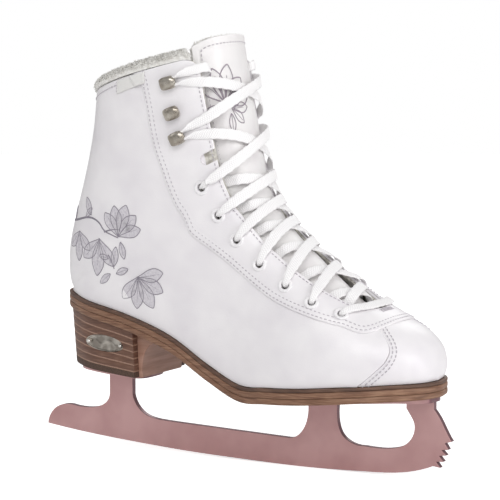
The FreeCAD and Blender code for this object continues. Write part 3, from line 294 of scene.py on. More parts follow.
def lumps(points: Array, size: float, seed: int, waves: int = 28) -> Array:
    """Soft random relief between about -1 and 1: a sum of sine waves in random directions.

    Args:
        points: Places in millimetres, (..., 3).
        size: Typical distance between lumps in millimetres.
        seed: Seed of the waves' directions, lengths and phases.
        waves: How many waves are added.

    Returns:
        Relief, shaped as points without the last axis.
    """
    rng = np.random.default_rng(seed)
    direction = unit(rng.normal(size=(waves, 3)))
    rate = 2 * PI / size * rng.uniform(0.6, 1.3, size=(waves, 1))
    phase = rng.uniform(0, 2 * PI, size=waves)
    return np.sin(points @ (direction * rate).T + phase).sum(-1) / math.sqrt(waves / 2) / 2


def spline(control: Array, count: int) -> Array:
    """Quadratic B-spline with clamped ends: it touches each leg of its control points midway.

    Args:
        control: Control rows (n, k).
        count: Number of samples, even in the spline's parameter.

    Returns:
        Samples (count, k).
    """
    n = len(control)
    knots = np.concatenate([[0.0, 0.0], np.arange(n - 1), [n - 2.0, n - 2.0]])
    u = np.linspace(0, n - 2, count)
    k = np.clip(np.floor(u).astype(int), 0, n - 3) + 2
    d0, d1, d2 = control[k - 2], control[k - 1], control[k]

    def share(i: Array, p: int) -> Array:
        return ((u - knots[i]) / (knots[i + p] - knots[i]))[:, None]

    e1 = lerp(d0, d1, share(k - 1, 2))
    e2 = lerp(d1, d2, share(k, 2))
    return lerp(e1, e2, share(k, 1))


def along(points: Array) -> Array:
    """Distance run along a polyline of points (n, 3), from its first point."""
    steps = np.linalg.norm(np.diff(points, axis=0), axis=-1)
    return np.concatenate([[0.0], np.cumsum(steps)])


def even(rows: Array, count: int, axes: int = 3, ends: bool = True) -> Array:
    """Rows of a polyline at count evenly spaced places along it.

    Args:
        rows: Points (n, k); the first axes columns are the place.
        count: Number of samples.
        axes: Columns that hold the place.
        ends: False where the last sample would repeat the first.

    Returns:
        Samples (count, k).
    """
    run = along(rows[:, :axes])
    goal = np.linspace(0, run[-1], count, endpoint=ends)
    return np.stack([np.interp(goal, run, column) for column in rows.T], -1)


def edge_distance(grid: Array, sides: str = "abcd") -> Array:
    """Distance in millimetres from each grid point to the nearest chosen border.

    Args:
        grid: Points (rows, columns, 3).
        sides: Borders to heed: a first row, b last row, c first column, d last column.

    Returns:
        Distances (rows, columns), summed along grid lines.
    """
    down = np.linalg.norm(np.diff(grid, axis=0), axis=-1)
    over = np.linalg.norm(np.diff(grid, axis=1), axis=-1)
    down = np.concatenate([np.zeros((1, grid.shape[1])), np.cumsum(down, 0)], 0)
    over = np.concatenate([np.zeros((grid.shape[0], 1)), np.cumsum(over, 1)], 1)
    choices = {"a": down, "b": down[-1:] - down, "c": over, "d": over[:, -1:] - over}
    return np.min([choices[s] for s in sides], axis=0)


def turns(count: int) -> Array:
    """Evenly spaced angles of a full turn, from 0."""
    return np.arange(count) * 2 * PI / count


def round_over(distance: Array, radius: float) -> Array:
    """Drop of a rounded edge: a quarter circle of that radius, then flat."""
    inside = np.clip(radius - distance, 0, radius)
    return radius - np.sqrt(np.maximum(radius**2 - inside**2, 0))


# ------------------------------------------------------------------ the last
@dataclass
class Last:
    """The boot's shape: girth sections joined by a Catmull-Rom surface.

    A section at v runs from its front point to its rear point; at angle pi*t it lies a
    share (cos - s cos 3) of the way along and half-width*(sin + s sin 3) to the side,
    where the squareness s eases from its front to its rear value as ((1 + cos) / 2)^2.
    """

    long: float = 1.0
    wide: float = 1.0
    columns: list[Array] = field(init=False)

    def __post_init__(self) -> None:
        """Sort the stations into columns."""
        rows = np.array([[s[0][0] * self.long, s[0][1], s[1][0] * self.long, s[1][1],
                          math.radians(s[2]), s[3] * self.wide, s[4] * self.wide, s[5],
                          s[6]]
                         for s in STATIONS])
        self.columns = list(rows.T)

    def end(self, v: Array) -> Array:
        """Share of a half turn at which the section at v ends."""
        v = np.asarray(v, float)
        open_end = np.minimum(cubic(self.columns[4], v) / PI, 1.0)
        return np.where(v >= HEEL_STATION, 1.0, open_end)

    def skin(self, t: Array, v: Array) -> Array:
        """Points of the outer skin, (..., 3) in millimetres."""
        t, v = np.broadcast_arrays(np.asarray(t, float), np.asarray(v, float))
        fx, fz, rx, rz, _, outer, inner, flat, behind = (cubic(c, v) for c in self.columns)
        stop = PI * self.end(v)
        angle = PI * t
        square = lerp(behind, flat, ((1 + np.cos(angle)) / 2) ** 2)
        last = lerp(behind, flat, ((1 + np.cos(stop)) / 2) ** 2)
        rear = np.cos(stop) - last * np.cos(3 * stop)
        share = (np.cos(angle) - square * np.cos(3 * angle) - rear) / (1 - flat - rear)
        half = np.where(np.sin(angle) < 0, outer, inner)
        y = half * (np.sin(angle) + square * np.sin(3 * angle)) / (1 - square)
        return np.stack([lerp(rx, fx, share), y, lerp(rz, fz, share)], -1)

    def normal(self, t: Array, v: Array) -> Array:
        """Outward unit normals of the skin."""
        t, v = np.broadcast_arrays(np.asarray(t, float), np.asarray(v, float))
        around = self.skin(t + 0.002, v) - self.skin(t - 0.002, v)
        top = len(STATIONS) - 1
        up = self.skin(t, np.minimum(v + 0.02, top)) - self.skin(t, np.maximum(v - 0.02, 0.01))
        return unit(np.cross(around, up))

    def at(self, t: Array | float, v: Array | float, depth: Array | float) -> Array:
        """Points at a depth under the skin, negative outside it."""
        return self.skin(t, v) - self.normal(t, v) * np.asarray(depth, float)[..., None]

    def frame(self, t: float, v: float, depth: float) -> tuple[Array, Array, Array, Array]:
        """Place, outward normal, direction to the throat and upward direction at a spot."""
        place = self.at(t, v, depth)
        out = self.normal(t, v)
        step = math.copysign(0.01, t)
        ahead = self.skin(t - step, v) - self.skin(t + step, v)
        ahead = unit(ahead - out * dot(ahead, out))
        up = np.cross(out, ahead)
        return place, out, ahead, up if up[2] > 0 else -up

    def near(self, t0: float, v0: float, forward: Array, up: Array) -> tuple[Array, Array]:
        """Skin coordinates of spots a few millimetres from (t0, v0).

        Steps of t and v are solved from the miss in the tangent plane, six times over, so
        that a place stays true over 20 mm or so.

        Args:
            t0: Start, t.
            v0: Start, v.
            forward: Offsets towards the toe, in millimetres.
            up: Offsets upwards at right angles to that.

        Returns:
            Arrays of t and v.
        """
        place = self.skin(t0, v0)
        out = self.normal(t0, v0)
        one = np.array([1.0, 0.0, 0.0])
        one = unit(one - out * dot(one, out))
        two = np.cross(out, one)
        two = two if two[2] > 0 else -two
        goal = np.stack([np.asarray(forward, float), np.asarray(up, float)], -1)
        t = np.full(goal.shape[:-1], float(t0))
        v = np.full(goal.shape[:-1], float(v0))
        for _ in range(6):
            here = self.skin(t, v) - place
            miss = goal - np.stack([here @ one, here @ two], -1)
            dt = (self.skin(t + 0.001, v) - self.skin(t - 0.001, v)) / 0.002
            dv = (self.skin(t, v + 0.01) - self.skin(t, v - 0.01)) / 0.02
            a, b, c, d = dt @ one, dv @ one, dt @ two, dv @ two
            size = a * d - b * c
            t = t + (d * miss[..., 0] - b * miss[..., 1]) / size
            v = v + (a * miss[..., 1] - c * miss[..., 0]) / size
        return t, v


def toe_seam(t: Array) -> Array:
    """Station of the toe seam."""
    return table(TOE_SEAM, np.abs(t))


def collar(t: Array) -> Array:
    """Station of the leather's top edge, rounded off at its front corners."""
    t = np.abs(t)
    corner = np.maximum(0.0, 1 - (t - float(table(THROAT_EDGE, 21))) / 0.07)
    return 21.08 - 0.28 * t * t - 0.4 * corner**2


def lining_depth(t: Array, v: Array) -> Array:
    """Depth of the lining's outer face: it dips behind the stiffeners."""
    side = smooth((np.abs(t) - 0.435) / 0.05) * smooth((v - 9) / 2.5)
    toe = 1 - smooth((v - 3.0) / 0.6)
    return LEATHER + GAP + (STIFFENER + GAP) * np.maximum(side, toe)


def tongue_depth(t: Array, v: Array) -> Array:
    """Depth of the tongue's face: sewn under the vamp, then bulging through the throat."""
    edge = table(THROAT_EDGE, v)
    sewn = (TONGUE_LOW - BACK - 2 * SOFT_GAP) * (1 - smooth((v - TONGUE_START - 0.1) / 0.7))
    side = smooth(np.abs(t) / (1.05 * edge))
    bulge = (TONGUE_LOW - TONGUE_CREST) * (1 - side) * smooth((v - 5.75) / 1.1)
    lean = 1.5 * smooth((v - 20.5) / 1.5)
    return TONGUE_LOW - sewn - bulge - lean * (1 - side)


# ------------------------------------------------------------------ meshes
@dataclass
class Form:
    """A mesh in the making: points in millimetres, faces, and millimetres of cloth per point."""

    points: Array
    faces: list[Array]
    uv: Optional[Array] = None

    def volume(self) -> float:
        """Signed volume, positive when the faces point outwards."""
        total = 0.0
        for group in self.faces:
            first = self.points[group[:, 0]]
            for k in range(1, group.shape[1] - 1):
                cross = np.cross(self.points[group[:, k]], self.points[group[:, k + 1]])
                total += float(np.sum(first * cross)) / 6
        return total

    def outward(self) -> "Form":
        """The same closed form with its faces pointing outwards."""
        if self.volume() < 0:
            self.faces = [group[:, ::-1] for group in self.faces]
        return self


def join(forms: Sequence[Form]) -> Form:
    """Several forms as one; UVs missing from a form are 0.

    Args:
        forms: Forms to join, in order.

    Returns:
        One form.
    """
    faces: list[Array] = []
    start = 0
    for form in forms:
        faces += [group + start for group in form.faces]
        start += len(form.points)
    joined = Form(np.concatenate([f.points for f in forms]), faces)
    if any(form.uv is not None for form in forms):
        joined.uv = np.concatenate([f.uv if f.uv is not None else np.zeros((len(f.points), 2))
                                    for f in forms])
    return joined


def net(rows: int, columns: int, wrap_rows: bool = False, wrap_columns: bool = False) -> Array:
    """Quads (n, 4) over a grid of points numbered row by row, wrapped where asked."""
    index = np.arange(rows * columns).reshape(rows, columns)
    if wrap_rows:
        index = np.concatenate([index, index[:1]], 0)
    if wrap_columns:
        index = np.concatenate([index, index[:, :1]], 1)
    corners = [index[:-1, :-1], index[:-1, 1:], index[1:, 1:], index[1:, :-1]]
    return np.stack(corners, -1).reshape(-1, 4)


def shell(outer: Array, inner: Array, uv: Optional[Array] = None) -> Form:
    """Closed sheet between two grids of points joined round their borders.

    Args:
        outer: Points (rows, columns, 3).
        inner: Points of the other face, same shape.
        uv: Coordinates (rows, columns, 2), used on both faces.

    Returns:
        The form, facing outwards.
    """
    rows, columns = outer.shape[:2]
    count = rows * columns
    index = np.arange(count).reshape(rows, columns)
    front = net(rows, columns)
    border = np.concatenate([index[0], index[1:, -1], index[-1, -2::-1], index[-2:0:-1, 0]])
    after = np.roll(border, -1)
    rim = np.stack([after, border, border + count, after + count], -1)
    points = np.concatenate([outer.reshape(-1, 3), inner.reshape(-1, 3)])
    form = Form(points, [front, front[:, ::-1] + count, rim])
    if uv is not None:
        form.uv = np.tile(uv.reshape(-1, 2), (2, 1))
    return form.outward()


def tube(rings: Array, uv: Optional[Array] = None, capped: bool = True) -> Form:
    """Closed form from rings of points (m, k, 3), its ends closed by fans to their middles.

    Args:
        rings: Ring after ring, each in order round the tube.
        uv: Coordinates (m, k, 2).
        capped: False where the last ring joins the first.

    Returns:
        The form, facing outwards.
    """
    count, around = rings.shape[:2]
    faces = [net(count, around, wrap_rows=not capped, wrap_columns=True)]
    points = rings.reshape(-1, 3)
    flat = None if uv is None else uv.reshape(-1, 2)
    if capped:
        ends = np.stack([rings[0].mean(0), rings[-1].mean(0)])
        points = np.concatenate([points, ends])
        ring = np.arange(around)
        after = (ring + 1) % around
        total = count * around
        last = (count - 1) * around
        faces.append(np.stack([after, ring, np.full(around, total)], -1))
        faces.append(np.stack([ring + last, after + last, np.full(around, total + 1)], -1))
        if flat is not None:
            flat = np.concatenate([flat, uv[0].mean(0)[None], uv[-1].mean(0)[None]])
    return Form(points, faces, flat).outward()


def repeat(form: Form, places: Array, axes: Array) -> Form:
    """Copies of a form, each turned by axes (m, 3, 3), whose rows are its X, Y and Z."""
    points = np.einsum("pk,mkj->mpj", form.points, axes) + places[:, None]
    count = len(form.points)
    shift = (np.arange(len(places)) * count)[:, None, None]
    faces = [(group[None] + shift).reshape(-1, group.shape[1]) for group in form.faces]
    return Form(points.reshape(-1, 3), faces)


def capsule(length: float, radius: float, around: int = 6) -> Form:
    """Small round-ended rod along X, bent down at its ends like a drawn stitch."""
    share = np.linspace(-1, 1, 7)
    size = radius * np.sqrt(np.maximum(1 - np.abs(share) ** 3.2, 0.02))
    angle = turns(around)
    x = np.repeat((share * length / 2)[:, None], around, 1)
    y = size[:, None] * np.cos(angle)
    z = size[:, None] * np.sin(angle) - (share**2 * radius * 0.9)[:, None]
    return tube(np.stack([x, y, z], -1))


def path_axes(points: Array, normals: Array) -> Array:
    """Axes (m, 3, 3) along a path: ahead, to the side, outward."""
    ahead = unit(np.gradient(points, axis=0))
    out = unit(normals - ahead * dot(normals, ahead))
    return np.stack([ahead, np.cross(out, ahead), out], 1)


def ribbon(points: Array, normals: Array, half: Array, rise: float) -> Form:
    """Flat strand with rounded edges along a path: half wide to each side, rise thick."""
    axes = path_axes(points, normals)
    angle = turns(8)
    ring = (axes[:, 1, None] * np.cos(angle)[:, None] * half
            + axes[:, 2, None] * np.sin(angle)[:, None] * rise)
    return tube(points[:, None] + ring)


def resample(points: Array, extra: Array, step: float) -> tuple[Array, Array]:
    """A path and its extra rows at even spacing close to step, offset by half a step."""
    run = along(points)
    count = max(2, int(round(run[-1] / step)))
    goal = (np.arange(count) + 0.5) * run[-1] / count
    pick = [np.interp(goal, run, column) for column in np.concatenate([points, extra], 1).T]
    both = np.stack(pick, -1)
    return both[:, :3], both[:, 3:]


def stitch_row(points: Array, normals: Array, pitch: float = 2.8, length: float = 2.1,
               radius: float = 0.33) -> Form:
    """Stitches along a path on a surface, one every pitch, half sunk in their holes.

    Args:
        points: Path (n, 3) on the surface.
        normals: Outward normals there.
        pitch: Distance between stitches.
        length: Length of thread that shows.
        radius: Radius of the thread.

    Returns:
        One form with every stitch.
    """
    spots, ups = resample(points, normals, pitch)
    axes = path_axes(spots, ups)
    spots = spots + axes[:, 2] * radius * 0.55
    return repeat(capsule(length, radius), spots, axes)


def groove(points: Array, lines: Sequence[Array], width: float = 1.3) -> Array:
    """Closeness to the nearest of several lines: 1 on it, falling as exp(-(d/width)^2)."""
    flat = points.reshape(-1, 3)
    best = np.full(len(flat), 1e9)
    for line in lines:
        dense, _ = resample(line, line, 1.2)
        low, high = dense.min(0) - 4 * width, dense.max(0) + 4 * width
        near = np.flatnonzero(np.all((flat > low) & (flat < high), axis=1))
        for part in np.array_split(near, max(1, len(near) // 4000)):
            if len(part):
                gap = flat[part, None] - dense[None]
                best[part] = np.minimum(best[part], np.sum(gap * gap, -1).min(1))
    return np.exp(-best / width**2).reshape(points.shape[:-1])


def linked(name: str, form: Form) -> Object:
    """Plain object from a form, linked to the scene."""
    data = bpy.data.meshes.new(name)
    faces = [row for group in form.faces for row in group.tolist()]
    data.from_pydata((form.points * MM).tolist(), [], faces)
    made = bpy.data.objects.new(name, data)
    bpy.context.scene.collection.objects.link(made)
    return made


def make(name: str, form: Form, finish: "Finish", body: Body,
         stands_for: Sequence[str] = (), sharp: float = SHARP_ANGLE) -> Object:
    """Object from a form, dressed, riding on a body and standing for CAD nodes.

    Args:
        name: Piece name.
        form: Mesh in millimetres.
        finish: Finish whose material it wears.
        body: Body that carries it.
        stands_for: CAD nodes that it replaces.
        sharp: Angle in degrees over which an edge is drawn sharp.

    Returns:
        The object.
    """
    piece = linked(name, form)
    data = piece.data
    if form.uv is not None:
        loops = np.empty(len(data.loops), dtype=np.int32)
        data.loops.foreach_get("vertex_index", loops)
        layer = data.uv_layers.new(name="cloth")
        layer.data.foreach_set("uv", form.uv[loops].astype(np.float32).ravel())
    data.update()
    data.shade_smooth()
    data.set_sharp_from_angle(angle=math.radians(sharp))
    data.materials.append(finish.material())
    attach(piece, body.value)
    if stands_for:
        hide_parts(*stands_for)
    LOG.info("%s: %d faces on %s", name, len(data.polygons), body.value)
    return piece


def cut(piece: Object, tools: Form) -> None:
    """Cut a closed form out of a piece with the exact Boolean, applied to its mesh."""
    cutter = linked("cutter", tools)
    step = piece.modifiers.new("cut", "BOOLEAN")
    step.operation = "DIFFERENCE"
    step.solver = "EXACT"
    step.object = cutter
    bpy.context.view_layer.update()
    graph = bpy.context.evaluated_depsgraph_get()
    result = bpy.data.meshes.new_from_object(piece.evaluated_get(graph), depsgraph=graph)
    piece.modifiers.clear()
    old = piece.data
    piece.data = result
    result.name = old.name
    bpy.data.objects.remove(cutter)
    result.set_sharp_from_angle(angle=math.radians(SHARP_ANGLE))


# ------------------------------------------------------------------ finishes
def linear(code: str) -> tuple[float, float, float, float]:
    """Linear RGBA from an sRGB hex code."""
    out = []
    for k in (1, 3, 5):
        c = int(code[k:k + 2], 16) / 255
        out.append(c / 12.92 if c <= 0.04045 else ((c + 0.055) / 1.055) ** 2.4)
    return out[0], out[1], out[2], 1.0


def add(tree: Tree, kind: str, wires: Optional[dict] = None,
        **settings: object) -> Node:
    """Add a shader node with its settings, input values and links.

    Args:
        tree: Node tree.
        kind: Node type without the leading "ShaderNode".
        wires: Input name or number to a value or an output socket.
        **settings: Properties of the node.

    Returns:
        The node.
    """
    made = tree.nodes.new("ShaderNode" + kind)
    for key, value in settings.items():
        setattr(made, key, value)
    for key, value in (wires or {}).items():
        if isinstance(value, Socket):
            tree.links.new(value, made.inputs[key])
        else:
            made.inputs[key].default_value = value
    return made


def ramp(tree: Tree, factor: Socket,
         stops: Sequence[tuple[float, str]]) -> Socket:
    """Colour socket from a factor through hex colour stops."""
    made = add(tree, "ValToRGB", {0: factor})
    band = made.color_ramp
    while len(band.elements) < len(stops):
        band.elements.new(0.5)
    for element, (place, code) in zip(band.elements, stops):
        element.position = place
        element.color = linear(code)
    return made.outputs[0]


@dataclass(frozen=True)
class Finish:
    """A surface: subclasses say what the material is and how it was made."""

    name: str

    def material(self) -> bpy.types.Material:
        """The finish's material, made once."""
        known = bpy.data.materials.get(self.name)
        if known:
            return known
        made = bpy.data.materials.new(self.name)
        made.use_nodes = True
        tree = made.node_tree
        shader = tree.nodes["Principled BSDF"]
        self.dress(tree, shader)
        return made

    def dress(self, tree: Tree, shader: Node) -> None:
        """Add the finish's nodes; each subclass has its own."""
        raise NotImplementedError

    @staticmethod
    def paint(tree: Tree, shader: Node, factor: Socket,
              stops: Sequence[tuple[float, str]]) -> None:
        """Colour the surface through hex stops."""
        tree.links.new(ramp(tree, factor, stops), shader.inputs["Base Color"])

    @staticmethod
    def roughen(tree: Tree, shader: Node, factor: Socket, low: float, high: float) -> None:
        """Let the roughness run from low to high with a factor."""
        rough = add(tree, "MapRange", {0: factor, 3: low, 4: high})
        tree.links.new(rough.outputs[0], shader.inputs["Roughness"])

    @staticmethod
    def settle(shader: Node, **values: float) -> None:
        """Set plain inputs of the shader; an underscore stands for a space."""
        for key, value in values.items():
            shader.inputs[key.replace("_", " ")].default_value = value

    @staticmethod
    def bump(tree: Tree, shader: Node, heights: Sequence[tuple[Socket, float]]) -> None:
        """Chain bumps, each a height socket and its depth in millimetres."""
        last = None
        for height, depth in heights:
            wires = {"Height": height, "Strength": 1.0, "Distance": depth * MM}
            if last is not None:
                wires["Normal"] = last
            last = add(tree, "Bump", wires).outputs[0]
        tree.links.new(last, shader.inputs["Normal"])


def spot(tree: Tree) -> Socket:
    """Object coordinates, in metres."""
    return add(tree, "TexCoord").outputs["Object"]


def grain(tree: Tree, size: float, detail: float = 3.0,
          kind: str = "FBM", vector: Optional[Socket] = None
          ) -> Socket:
    """Noise of a size in millimetres, 0 to 1."""
    where = vector or spot(tree)
    wires = {"Vector": where, "Scale": 1 / (size * MM), "Detail": detail}
    return add(tree, "TexNoise", wires, noise_type=kind).outputs[0]


@dataclass(frozen=True)
class CoatedLeather(Finish):
    """Split leather with a white polyurethane coat, rolled with a fine pebble grain.

    The coat evens the colour and gives a soft satin gloss; the grain only breaks the
    highlight, and the hide's own unevenness shows as slow ripples.
    """

    colour: str = "#F2EFF1"
    shade: str = "#E7E3E7"
    pebble: float = 1.1
    gloss: float = 0.36

    def dress(self, tree: Tree, shader: Node) -> None:
        """Pebbles from cells, slow ripples, faint clouding."""
        where = spot(tree)
        cloud = grain(tree, 26.0, 2.0, vector=where)
        self.paint(tree, shader, cloud, ((0.25, self.shade), (0.62, self.colour)))
        self.roughen(tree, shader, grain(tree, 9.0, 4.0, vector=where), self.gloss - 0.05,
                     self.gloss + 0.09)
        self.settle(shader, Coat_Weight=0.18, Coat_Roughness=0.3)
        cells = add(tree, "TexVoronoi", {"Vector": where, "Scale": 1 / (self.pebble * MM)},
                    feature="SMOOTH_F1")
        slow = grain(tree, 14.0, 1.0, vector=where)
        self.bump(tree, shader, ((slow, 0.35), (cells.outputs[0], 0.045)))


@dataclass(frozen=True)
class Fleece(Finish):
    """Polyester sherpa: fibres knitted into a backing, brushed and curled in steam.

    Light sinks between the curls and the fibre tips catch it, so it looks matt and warm; the
    darker hollows are painted shade in the colour.
    """

    # high is the tips' colour; low is the painted shade of the hollows, and also the darker random
    # fibre tone
    high: str = "#FBFAF7"
    low: str = "#DAD7D1"
    curl: float = 2.1

    def dress(self, tree: Tree, shader: Node) -> None:
        """Curls from cells bent by noise; hollows painted darker than tips, a painted shade."""
        where = spot(tree)
        bend = add(tree, "TexNoise", {"Vector": where, "Scale": 1 / (3.2 * MM), "Detail": 2.0})
        offset = add(tree, "VectorMath", {0: bend.outputs[1], 1: (0.003, 0.003, 0.003)},
                     operation="MULTIPLY")
        moved = add(tree, "VectorMath", {0: where, 1: offset.outputs[0]}, operation="ADD")
        cells = add(tree, "TexVoronoi", {"Vector": moved.outputs[0],
                                         "Scale": 1 / (self.curl * MM)}, feature="SMOOTH_F1")
        hair = grain(tree, 0.5, 3.0, vector=moved.outputs[0])
        # painted shade: the colour darkens from the tips into the hollows between curls
        colour = ramp(tree, cells.outputs[0], ((0.12, self.high), (0.75, self.low)))
        tint = add(tree, "MixRGB", {0: 0.2, 1: colour, 2: ramp(tree, hair, (
            (0.3, self.low), (0.65, "#FFFFFF")))}, blend_type="MULTIPLY")
        tree.links.new(tint.outputs[0], shader.inputs["Base Color"])
        self.settle(shader, Roughness=0.95, Sheen_Weight=0.35, Sheen_Roughness=0.6)
        flip = add(tree, "Math", {0: 1.0, 1: cells.outputs[0]}, operation="SUBTRACT")
        self.bump(tree, shader, ((flip.outputs[0], 0.7), (hair, 0.25)))


@dataclass(frozen=True)
class Woven(Finish):
    """Cloth of crossing threads; across and up count millimetres in the piece's UV map.

    Each thread is a rounded ridge, and the gaps between threads are painted darker, a painted
    shade.
    """

    colour: str = "#F3F1EF"
    # gap is the painted shade in the gaps between threads
    gap: str = "#CFCACA"
    across: float = 0.75
    up: float = 0.75
    depth: float = 0.12
    rough: float = 0.85
    sheen: float = 0.2
    skew: float = 0.0

    def dress(self, tree: Tree, shader: Node) -> None:
        """Two sine waves over the UV map, multiplied; skew turns them towards a braid."""
        uv = add(tree, "UVMap", uv_map="cloth").outputs[0]
        turned = add(tree, "Mapping", {0: uv, "Rotation": (0.0, 0.0, self.skew)}).outputs[0]
        parts = add(tree, "SeparateXYZ", {0: turned})
        waves = []
        for axis, size in ((0, self.across), (1, self.up)):
            phase = add(tree, "Math", {0: parts.outputs[axis], 1: PI / size}, operation="MULTIPLY")
            wave = add(tree, "Math", {0: phase.outputs[0]}, operation="SINE")
            waves.append(add(tree, "Math", {0: wave.outputs[0]}, operation="ABSOLUTE").outputs[0])
        height = add(tree, "Math", {0: waves[0], 1: waves[1]}, operation="MULTIPLY").outputs[0]
        fuzz = grain(tree, 0.9, 2.0)
        mixed = add(tree, "Math", {0: height, 1: fuzz, 2: 0.25}, operation="MULTIPLY_ADD")
        # painted shade: low places of the weave take the gap colour
        self.paint(tree, shader, height, ((0.05, self.gap), (0.5, self.colour)))
        self.settle(shader, Roughness=self.rough, Sheen_Weight=self.sheen)
        self.bump(tree, shader, ((mixed.outputs[0], self.depth),))


@dataclass(frozen=True)
class Thread(Finish):
    """Bonded polyester sewing thread: three plies twisted, with a faint lustre."""

    colour: str = "#CBC6CB"

    def dress(self, tree: Tree, shader: Node) -> None:
        """Fine noise stands for the plies."""
        fine = grain(tree, 0.6, 2.0)
        self.paint(tree, shader, fine, ((0.3, "#A9A3AA"), (0.6, self.colour)))
        self.settle(shader, Roughness=0.6)
        self.bump(tree, shader, ((fine, 0.08),))


@dataclass(frozen=True)
class Enamel(Finish):
    """Brass eyelet stove-enamelled white: glossy, slightly thick at the roll."""

    colour: str = "#F4F2F3"

    def dress(self, tree: Tree, shader: Node) -> None:
        """Orange peel of the enamel and a slight clouding."""
        peel = grain(tree, 1.6, 1.0)
        self.paint(tree, shader, peel, ((0.2, "#E4E1E4"), (0.6, self.colour)))
        self.settle(shader, Roughness=0.24)
        self.bump(tree, shader, ((peel, 0.03),))


@dataclass(frozen=True)
class Metal(Finish):
    """Plated or polished metal: brushed along X, worn to a brighter tone in patches."""

    colour: str = "#B9B2A6"
    worn: str = "#D8D2C8"
    rough: float = 0.28
    scratch: float = 0.5

    def dress(self, tree: Tree, shader: Node) -> None:
        """Noise drawn out along X for brush marks, large noise for wear."""
        where = spot(tree)
        drawn = add(tree, "Mapping", {0: where, "Scale": (0.12, 1.0, 1.0)}).outputs[0]
        marks = grain(tree, self.scratch, 3.0, vector=drawn)
        wear = grain(tree, 6.0, 3.0, vector=where)
        self.paint(tree, shader, wear, ((0.4, self.colour), (0.68, self.worn)))
        self.settle(shader, Metallic=1.0)
        self.roughen(tree, shader, marks, self.rough - 0.07, self.rough + 0.14)
        self.bump(tree, shader, ((marks, 0.015),))


@dataclass(frozen=True)
class RoseLacquer(Finish):
    """Steel blade with a rose metallic lacquer on its flat sides; its edges, the faces
    turned away from the sides, are painted a darker tone as painted shade."""

    side: str = "#D3A9A8"
    shade: str = "#C19594"
    # painted shade on every face turned away from the flat sides
    edge: str = "#7E5A60"
    flake: float = 0.35

    def dress(self, tree: Tree, shader: Node) -> None:
        """The outward direction's Y part tells flat sides from edges, which take the painted
        shade; fine noise is flake.
        """
        where = spot(tree)
        facing = add(tree, "SeparateXYZ", {0: add(tree, "NewGeometry").outputs["Normal"]})
        flat = add(tree, "Math", {0: facing.outputs[1]}, operation="ABSOLUTE")
        sides = add(tree, "MapRange", {0: flat.outputs[0], 1: 0.45, 2: 0.9})
        cloud = grain(tree, 30.0, 3.0, vector=where)
        lacquer = ramp(tree, cloud, ((0.3, self.shade), (0.65, self.side)))
        # painted shade mixed in where the face turns away from the sides
        colour = add(tree, "MixRGB", {0: sides.outputs[0], 1: linear(self.edge), 2: lacquer})
        tree.links.new(colour.outputs[0], shader.inputs["Base Color"])
        self.settle(shader, Metallic=0.72)
        drawn = add(tree, "Mapping", {0: where, "Scale": (0.2, 1.0, 1.0)}).outputs[0]
        flakes = grain(tree, self.flake, 2.0, vector=drawn)
        self.roughen(tree, shader, flakes, 0.34, 0.5)
        self.settle(shader, Coat_Weight=0.3, Coat_Roughness=0.2)
        self.bump(tree, shader, ((flakes, 0.02),))


@dataclass(frozen=True)
class StackedLeather(Finish):
    """Pressed leather board, its cut edge sanded, stained and waxed.

    Fibre bundles lie flat in the board, so the edge shows fine streaks along it.
    """

    dark: str = "#5A3F35"
    middle: str = "#8F6A4C"
    light: str = "#B08A6E"
    lines: float = 0.9
    rough: float = 0.5

    def dress(self, tree: Tree, shader: Node) -> None:
        """Streaks: noise squeezed along Z, drawn out along X and Y."""
        where = spot(tree)
        drawn = add(tree, "Mapping", {0: where, "Scale": (0.07, 0.07, 1.0)}).outputs[0]
        streak = grain(tree, self.lines, 4.0, vector=drawn)
        cloud = grain(tree, 12.0, 3.0, vector=where)
        both = add(tree, "Math", {0: cloud, 1: 0.35, 2: streak}, operation="MULTIPLY_ADD")
        stops = ((0.48, self.dark), (0.68, self.middle), (0.9, self.light))
        self.paint(tree, shader, both.outputs[0], stops)
        self.roughen(tree, shader, cloud, self.rough - 0.08, self.rough + 0.12)
        self.bump(tree, shader, ((streak, 0.18),))


@dataclass(frozen=True)
class Solid(Finish):
    """A moulded, pressed or printed material of one tone: rubber, foam, board, ink."""

    colour: str = "#3A3230"
    shade: str = "#2A2422"
    speck: float = 0.8
    rough: float = 0.7
    depth: float = 0.08

    def dress(self, tree: Tree, shader: Node) -> None:
        """Specks of the material's own grit, pores or fibre."""
        fine = grain(tree, self.speck, 4.0)
        self.paint(tree, shader, fine, ((0.35, self.shade), (0.62, self.colour)))
        self.settle(shader, Roughness=self.rough)
        self.bump(tree, shader, ((fine, self.depth),))


@dataclass(frozen=True)
class Film(Finish):
    """Clear cellulose film shrunk round a lace end: glossy over the white braid."""

    def dress(self, tree: Tree, shader: Node) -> None:
        """A glossy coat over a pale woven tone."""
        fine = grain(tree, 0.8, 2.0)
        self.paint(tree, shader, fine, ((0.3, "#D9DADC"), (0.6, "#F2F3F4")))
        self.settle(shader, Roughness=0.25, Coat_Weight=0.8)
        self.bump(tree, shader, ((fine, 0.05),))


@dataclass(frozen=True)
class Paper(Finish):
    """White studio paper, lifted for the camera so that it ends without a horizon."""

    colour: str = "#FFFFFF"
    glow: float = 0.62

    def dress(self, tree: Tree, shader: Node) -> None:
        """Matt paper tooth; the glow is seen by camera rays alone and lights nothing."""
        fine = grain(tree, 2.0, 2.0)
        self.paint(tree, shader, fine, ((0.3, "#FBFBFB"), (0.6, self.colour)))
        self.settle(shader, Roughness=0.95)
        direct = add(tree, "LightPath").outputs["Is Camera Ray"]
        lift = add(tree, "Math", {0: direct, 1: self.glow}, operation="MULTIPLY")
        shader.inputs["Emission Color"].default_value = linear(self.colour)
        tree.links.new(lift.outputs[0], shader.inputs["Emission Strength"])
        self.bump(tree, shader, ((fine, 0.02),))


